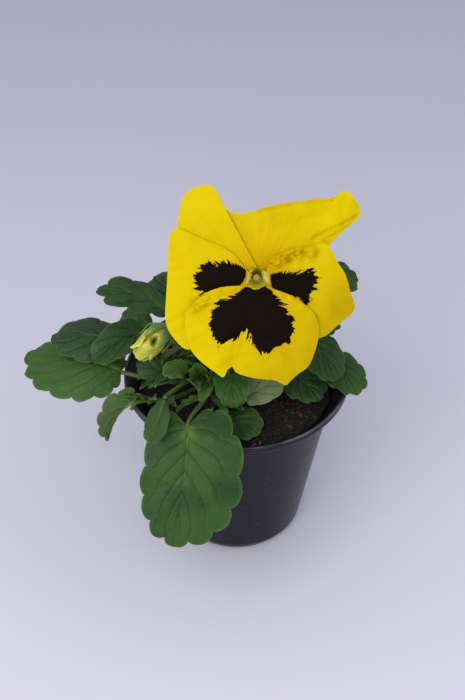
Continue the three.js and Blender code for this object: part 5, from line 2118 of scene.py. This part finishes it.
PETALS = [
    Petal(
        "petal_upper_right", 0, (1.5, 2),
        ((44, 27, 9, -2.5), (40, 37, 7, 1.5)),
        ((27, 10.8), (33.5, 17), (39, 22), (43.5, 26), (44, 28.5), (42, 32.5), (38.5, 36.5), (36, 36.5),
         (32, 34.2), (24, 33.3), (13.5, 32), (7, 31), (0.5, 29.2), (-5.5, 27.6), (-10, 27.6), (-14, 29),
         (-18, 30), (-5.2, 9.7)),
        folds=(((24, 17.2), (36, 22.9), 0.9, -1.1, 0.35), ((36, 22.9), (43, 26.6), 0.9, -1.1, 0.35),
               ((29.5, 15.5), (42, 24), 1.7, -1.6, 0.4), ((0.5, 28.6), (13.5, 31.2), 0.7, -0.7, 0.5),
               ((13.5, 31.2), (32, 33.4), 0.7, -0.7, 0.5), ((6, 25), (27, 29), 3.0, 0.7, 0.3),
               ((35.5, 28), (37.5, 34.5), 0.9, -0.6, 0.15), ((-11, 25.5), (-3, 16), 2.2, -0.5, 0.15)),
    ),
    Petal(
        "petal_upper_left", 1, (-1.5, 2),
        ((-23, 41, 5, -0.9), (-36, 29, 5, 0.5)),
        ((-2.5, 7), (-16, 33.1), (-18, 37), (-20, 39), (-24.5, 39), (-28, 38), (-31.5, 34.5), (-33.3, 30),
         (-34, 25.5), (-34.5, 21), (-32, 15.5)),
    ),
    Petal(
        "petal_side_left", 2, (-2.5, -0.8),
        ((-40, 15, 7, 1.4), (-42, -24, 6, 1), (-5.2, 1.6, 1.3, 0.8), (-33, -6, 8, 0.6)),
        ((-10, 10), (-14, 12.6), (-24.5, 17), (-34.5, 21), (-37, 19.5), (-38, 14), (-38.3, 6), (-38.8, -2),
         (-39.3, -10), (-39.6, -17), (-38.5, -22), (-35.5, -26.5), (-30.5, -30.5), (-22.5, -28.5)),
        ((-27.6, -0.5), (-26, 3.4), (-21.3, 6.6), (-14.6, 6.8), (-9, 6.1), (-5.9, 4.4), (-4.9, 2.6),
         (-5.6, 0.4), (-6.6, -2), (-9, -4), (-12.7, -5), (-16.9, -4.6), (-20.6, -5.4), (-24.6, -6.9),
         (-26.2, -4.4)),
        (-8.5, -0.5),
    ),
    Petal(
        "petal_side_right", 2, (2.5, -0.8),
        ((42, -14, 8, -1.5), (30, 15, 6, 0.8), (4.4, -0.9, 1.4, 0.9)),
        ((24, -26), (29, -24.5), (35, -19.5), (40.5, -15), (41.5, -12.5), (39.5, -6), (37, 1.5), (33.5, 7),
         (28.5, 14.5), (20, 13.1), (15.3, 12.9), (9.4, 10.6), (5.2, 8.4)),
        ((5.3, 2.1), (10.7, 2.8), (16, 2.6), (22.8, 3.8), (25, 1.4), (26, -1.6), (24, -4.6), (22.3, -7.2),
         (21.4, -10.8), (18.8, -10.4), (14.5, -8.4), (9.2, -6.6), (6, -4.9), (5.4, -2.4), (5.3, 0)),
        (8.5, -2),
        crumples=(((5.5, 7), (13.5, 10.5), 2.7, 1.8), ((13.5, 9.5), (22.5, 10.5), 2.6, 1.5)),
    ),
    Petal(
        "petal_lip", 3, (0, -2.6),
        ((-32, -22, 9, 2), (-13, -42, 5, 1.5), (13, -46, 7, 2), (26, -30, 8, -1), (-11.5, -4.9, 1.8, 1.2),
         (-17, -5.2, 2.1, 1.8), (-22.2, -8.2, 2.1, 1.9), (-27.4, -13.4, 1.9, 1.2), (10, -6.8, 1.4, 0.8),
         (14.6, -8.5, 1.7, 1.0), (19, -12.2, 1.8, 1.0), (23.4, -17, 2, 0.8), (-0.8, -4, 1.5, 0.5),
         (-17, -36, 3.4, 1.7), (-10.5, -35, 3.1, -1.5)),
        ((-9, -3.3), (-15, -3.6), (-19.5, -4.9), (-23.5, -7.4), (-27.3, -10.4), (-30, -13.3), (-31, -18),
         (-30.5, -24), (-28.6, -30.5), (-25, -35), (-18.5, -40), (-14.9, -42.3), (-12.8, -39), (-11, -38),
         (-9.5, -40.3), (-3.5, -42.5), (2, -43.2), (7.5, -43.8), (12, -45.6), (13.8, -43.8), (17, -41),
         (21.5, -37.5), (23.7, -33), (25.4, -27), (26, -21.5), (24.3, -15.9), (20.1, -11.3), (14.9, -7.7),
         (9.6, -5.7), (5.2, -3.9)),
        ((-5.8, -3.4), (-8.6, -5.8), (-14, -8.3), (-18.2, -11.2), (-20, -15), (-20.6, -19), (-19.2, -24),
         (-16.2, -28.8), (-13, -27.4), (-8.4, -24.6), (-4.7, -22.1), (-3.8, -26), (-1, -29.6), (3.2, -32.6),
         (8, -30.2), (13, -27), (15.4, -22), (14.8, -17.4), (12.4, -13), (9, -9), (5.6, -5.2), (3.4, -3.2),
         (-1, -4)),
        (-1.6, -9), cup=4.1,
        crumples=(((-28, -13.5), (-19, -9.5), 2.0, 1.5),),
    ),
]  # fmt: skip


def main() -> None:
    """Builds the plant, dresses it, and sets up the studio."""
    logging.basicConfig(level=logging.INFO, format="%(message)s")
    stem = Green("Stem", (0.07, 0.16, 0.02, 1), (0.2, 0.34, 0.06, 1)).material()
    petal = PetalFinish().material()
    foliage = {
        MATURE: Foliage(
            "Leaf green", (0.0125, 0.044, 0.0066, 1), (0.027, 0.083, 0.0105, 1), (0.1, 0.2, 0.04, 1),
            (0.05, 0.1, 0.03, 1), (0.17, 0.26, 0.035, 1),
        ),
        YOUNG: Foliage(
            "Leaf young", (0.022, 0.066, 0.008, 1), (0.05, 0.125, 0.014, 1), (0.13, 0.24, 0.05, 1),
            (0.05, 0.1, 0.022, 1), (0.14, 0.22, 0.035, 1),
        ),
        PALE: Foliage(
            "Leaf pale", (0.08, 0.12, 0.045, 1), (0.14, 0.19, 0.08, 1), (0.26, 0.32, 0.16, 1),
            (0.14, 0.19, 0.09, 1), (0.22, 0.3, 0.09, 1), roughness=0.6,
        ),
    }  # fmt: skip
    leaves = {tone: finish.material() for tone, finish in foliage.items()}
    stages: list[tuple[Part, tuple[bpy.types.Material, ...]]] = [
        (Pot(), ()),
        (Compost(), ()),
        (Crown(), ()),
        (Stipules(), ()),
        *((leaf, (leaves[leaf.tone],)) for leaf in LEAVES),
        (FlowerStem(), (stem,)),
        *((part, (petal,)) for part in PETALS),
        (Throat(), ()),
        (Bud(), (stem,)),
    ]
    for part, finishes in stages:
        part.build()
        part.dress(*finishes)
    Studio().build()


if __name__ == "__main__":
    main()
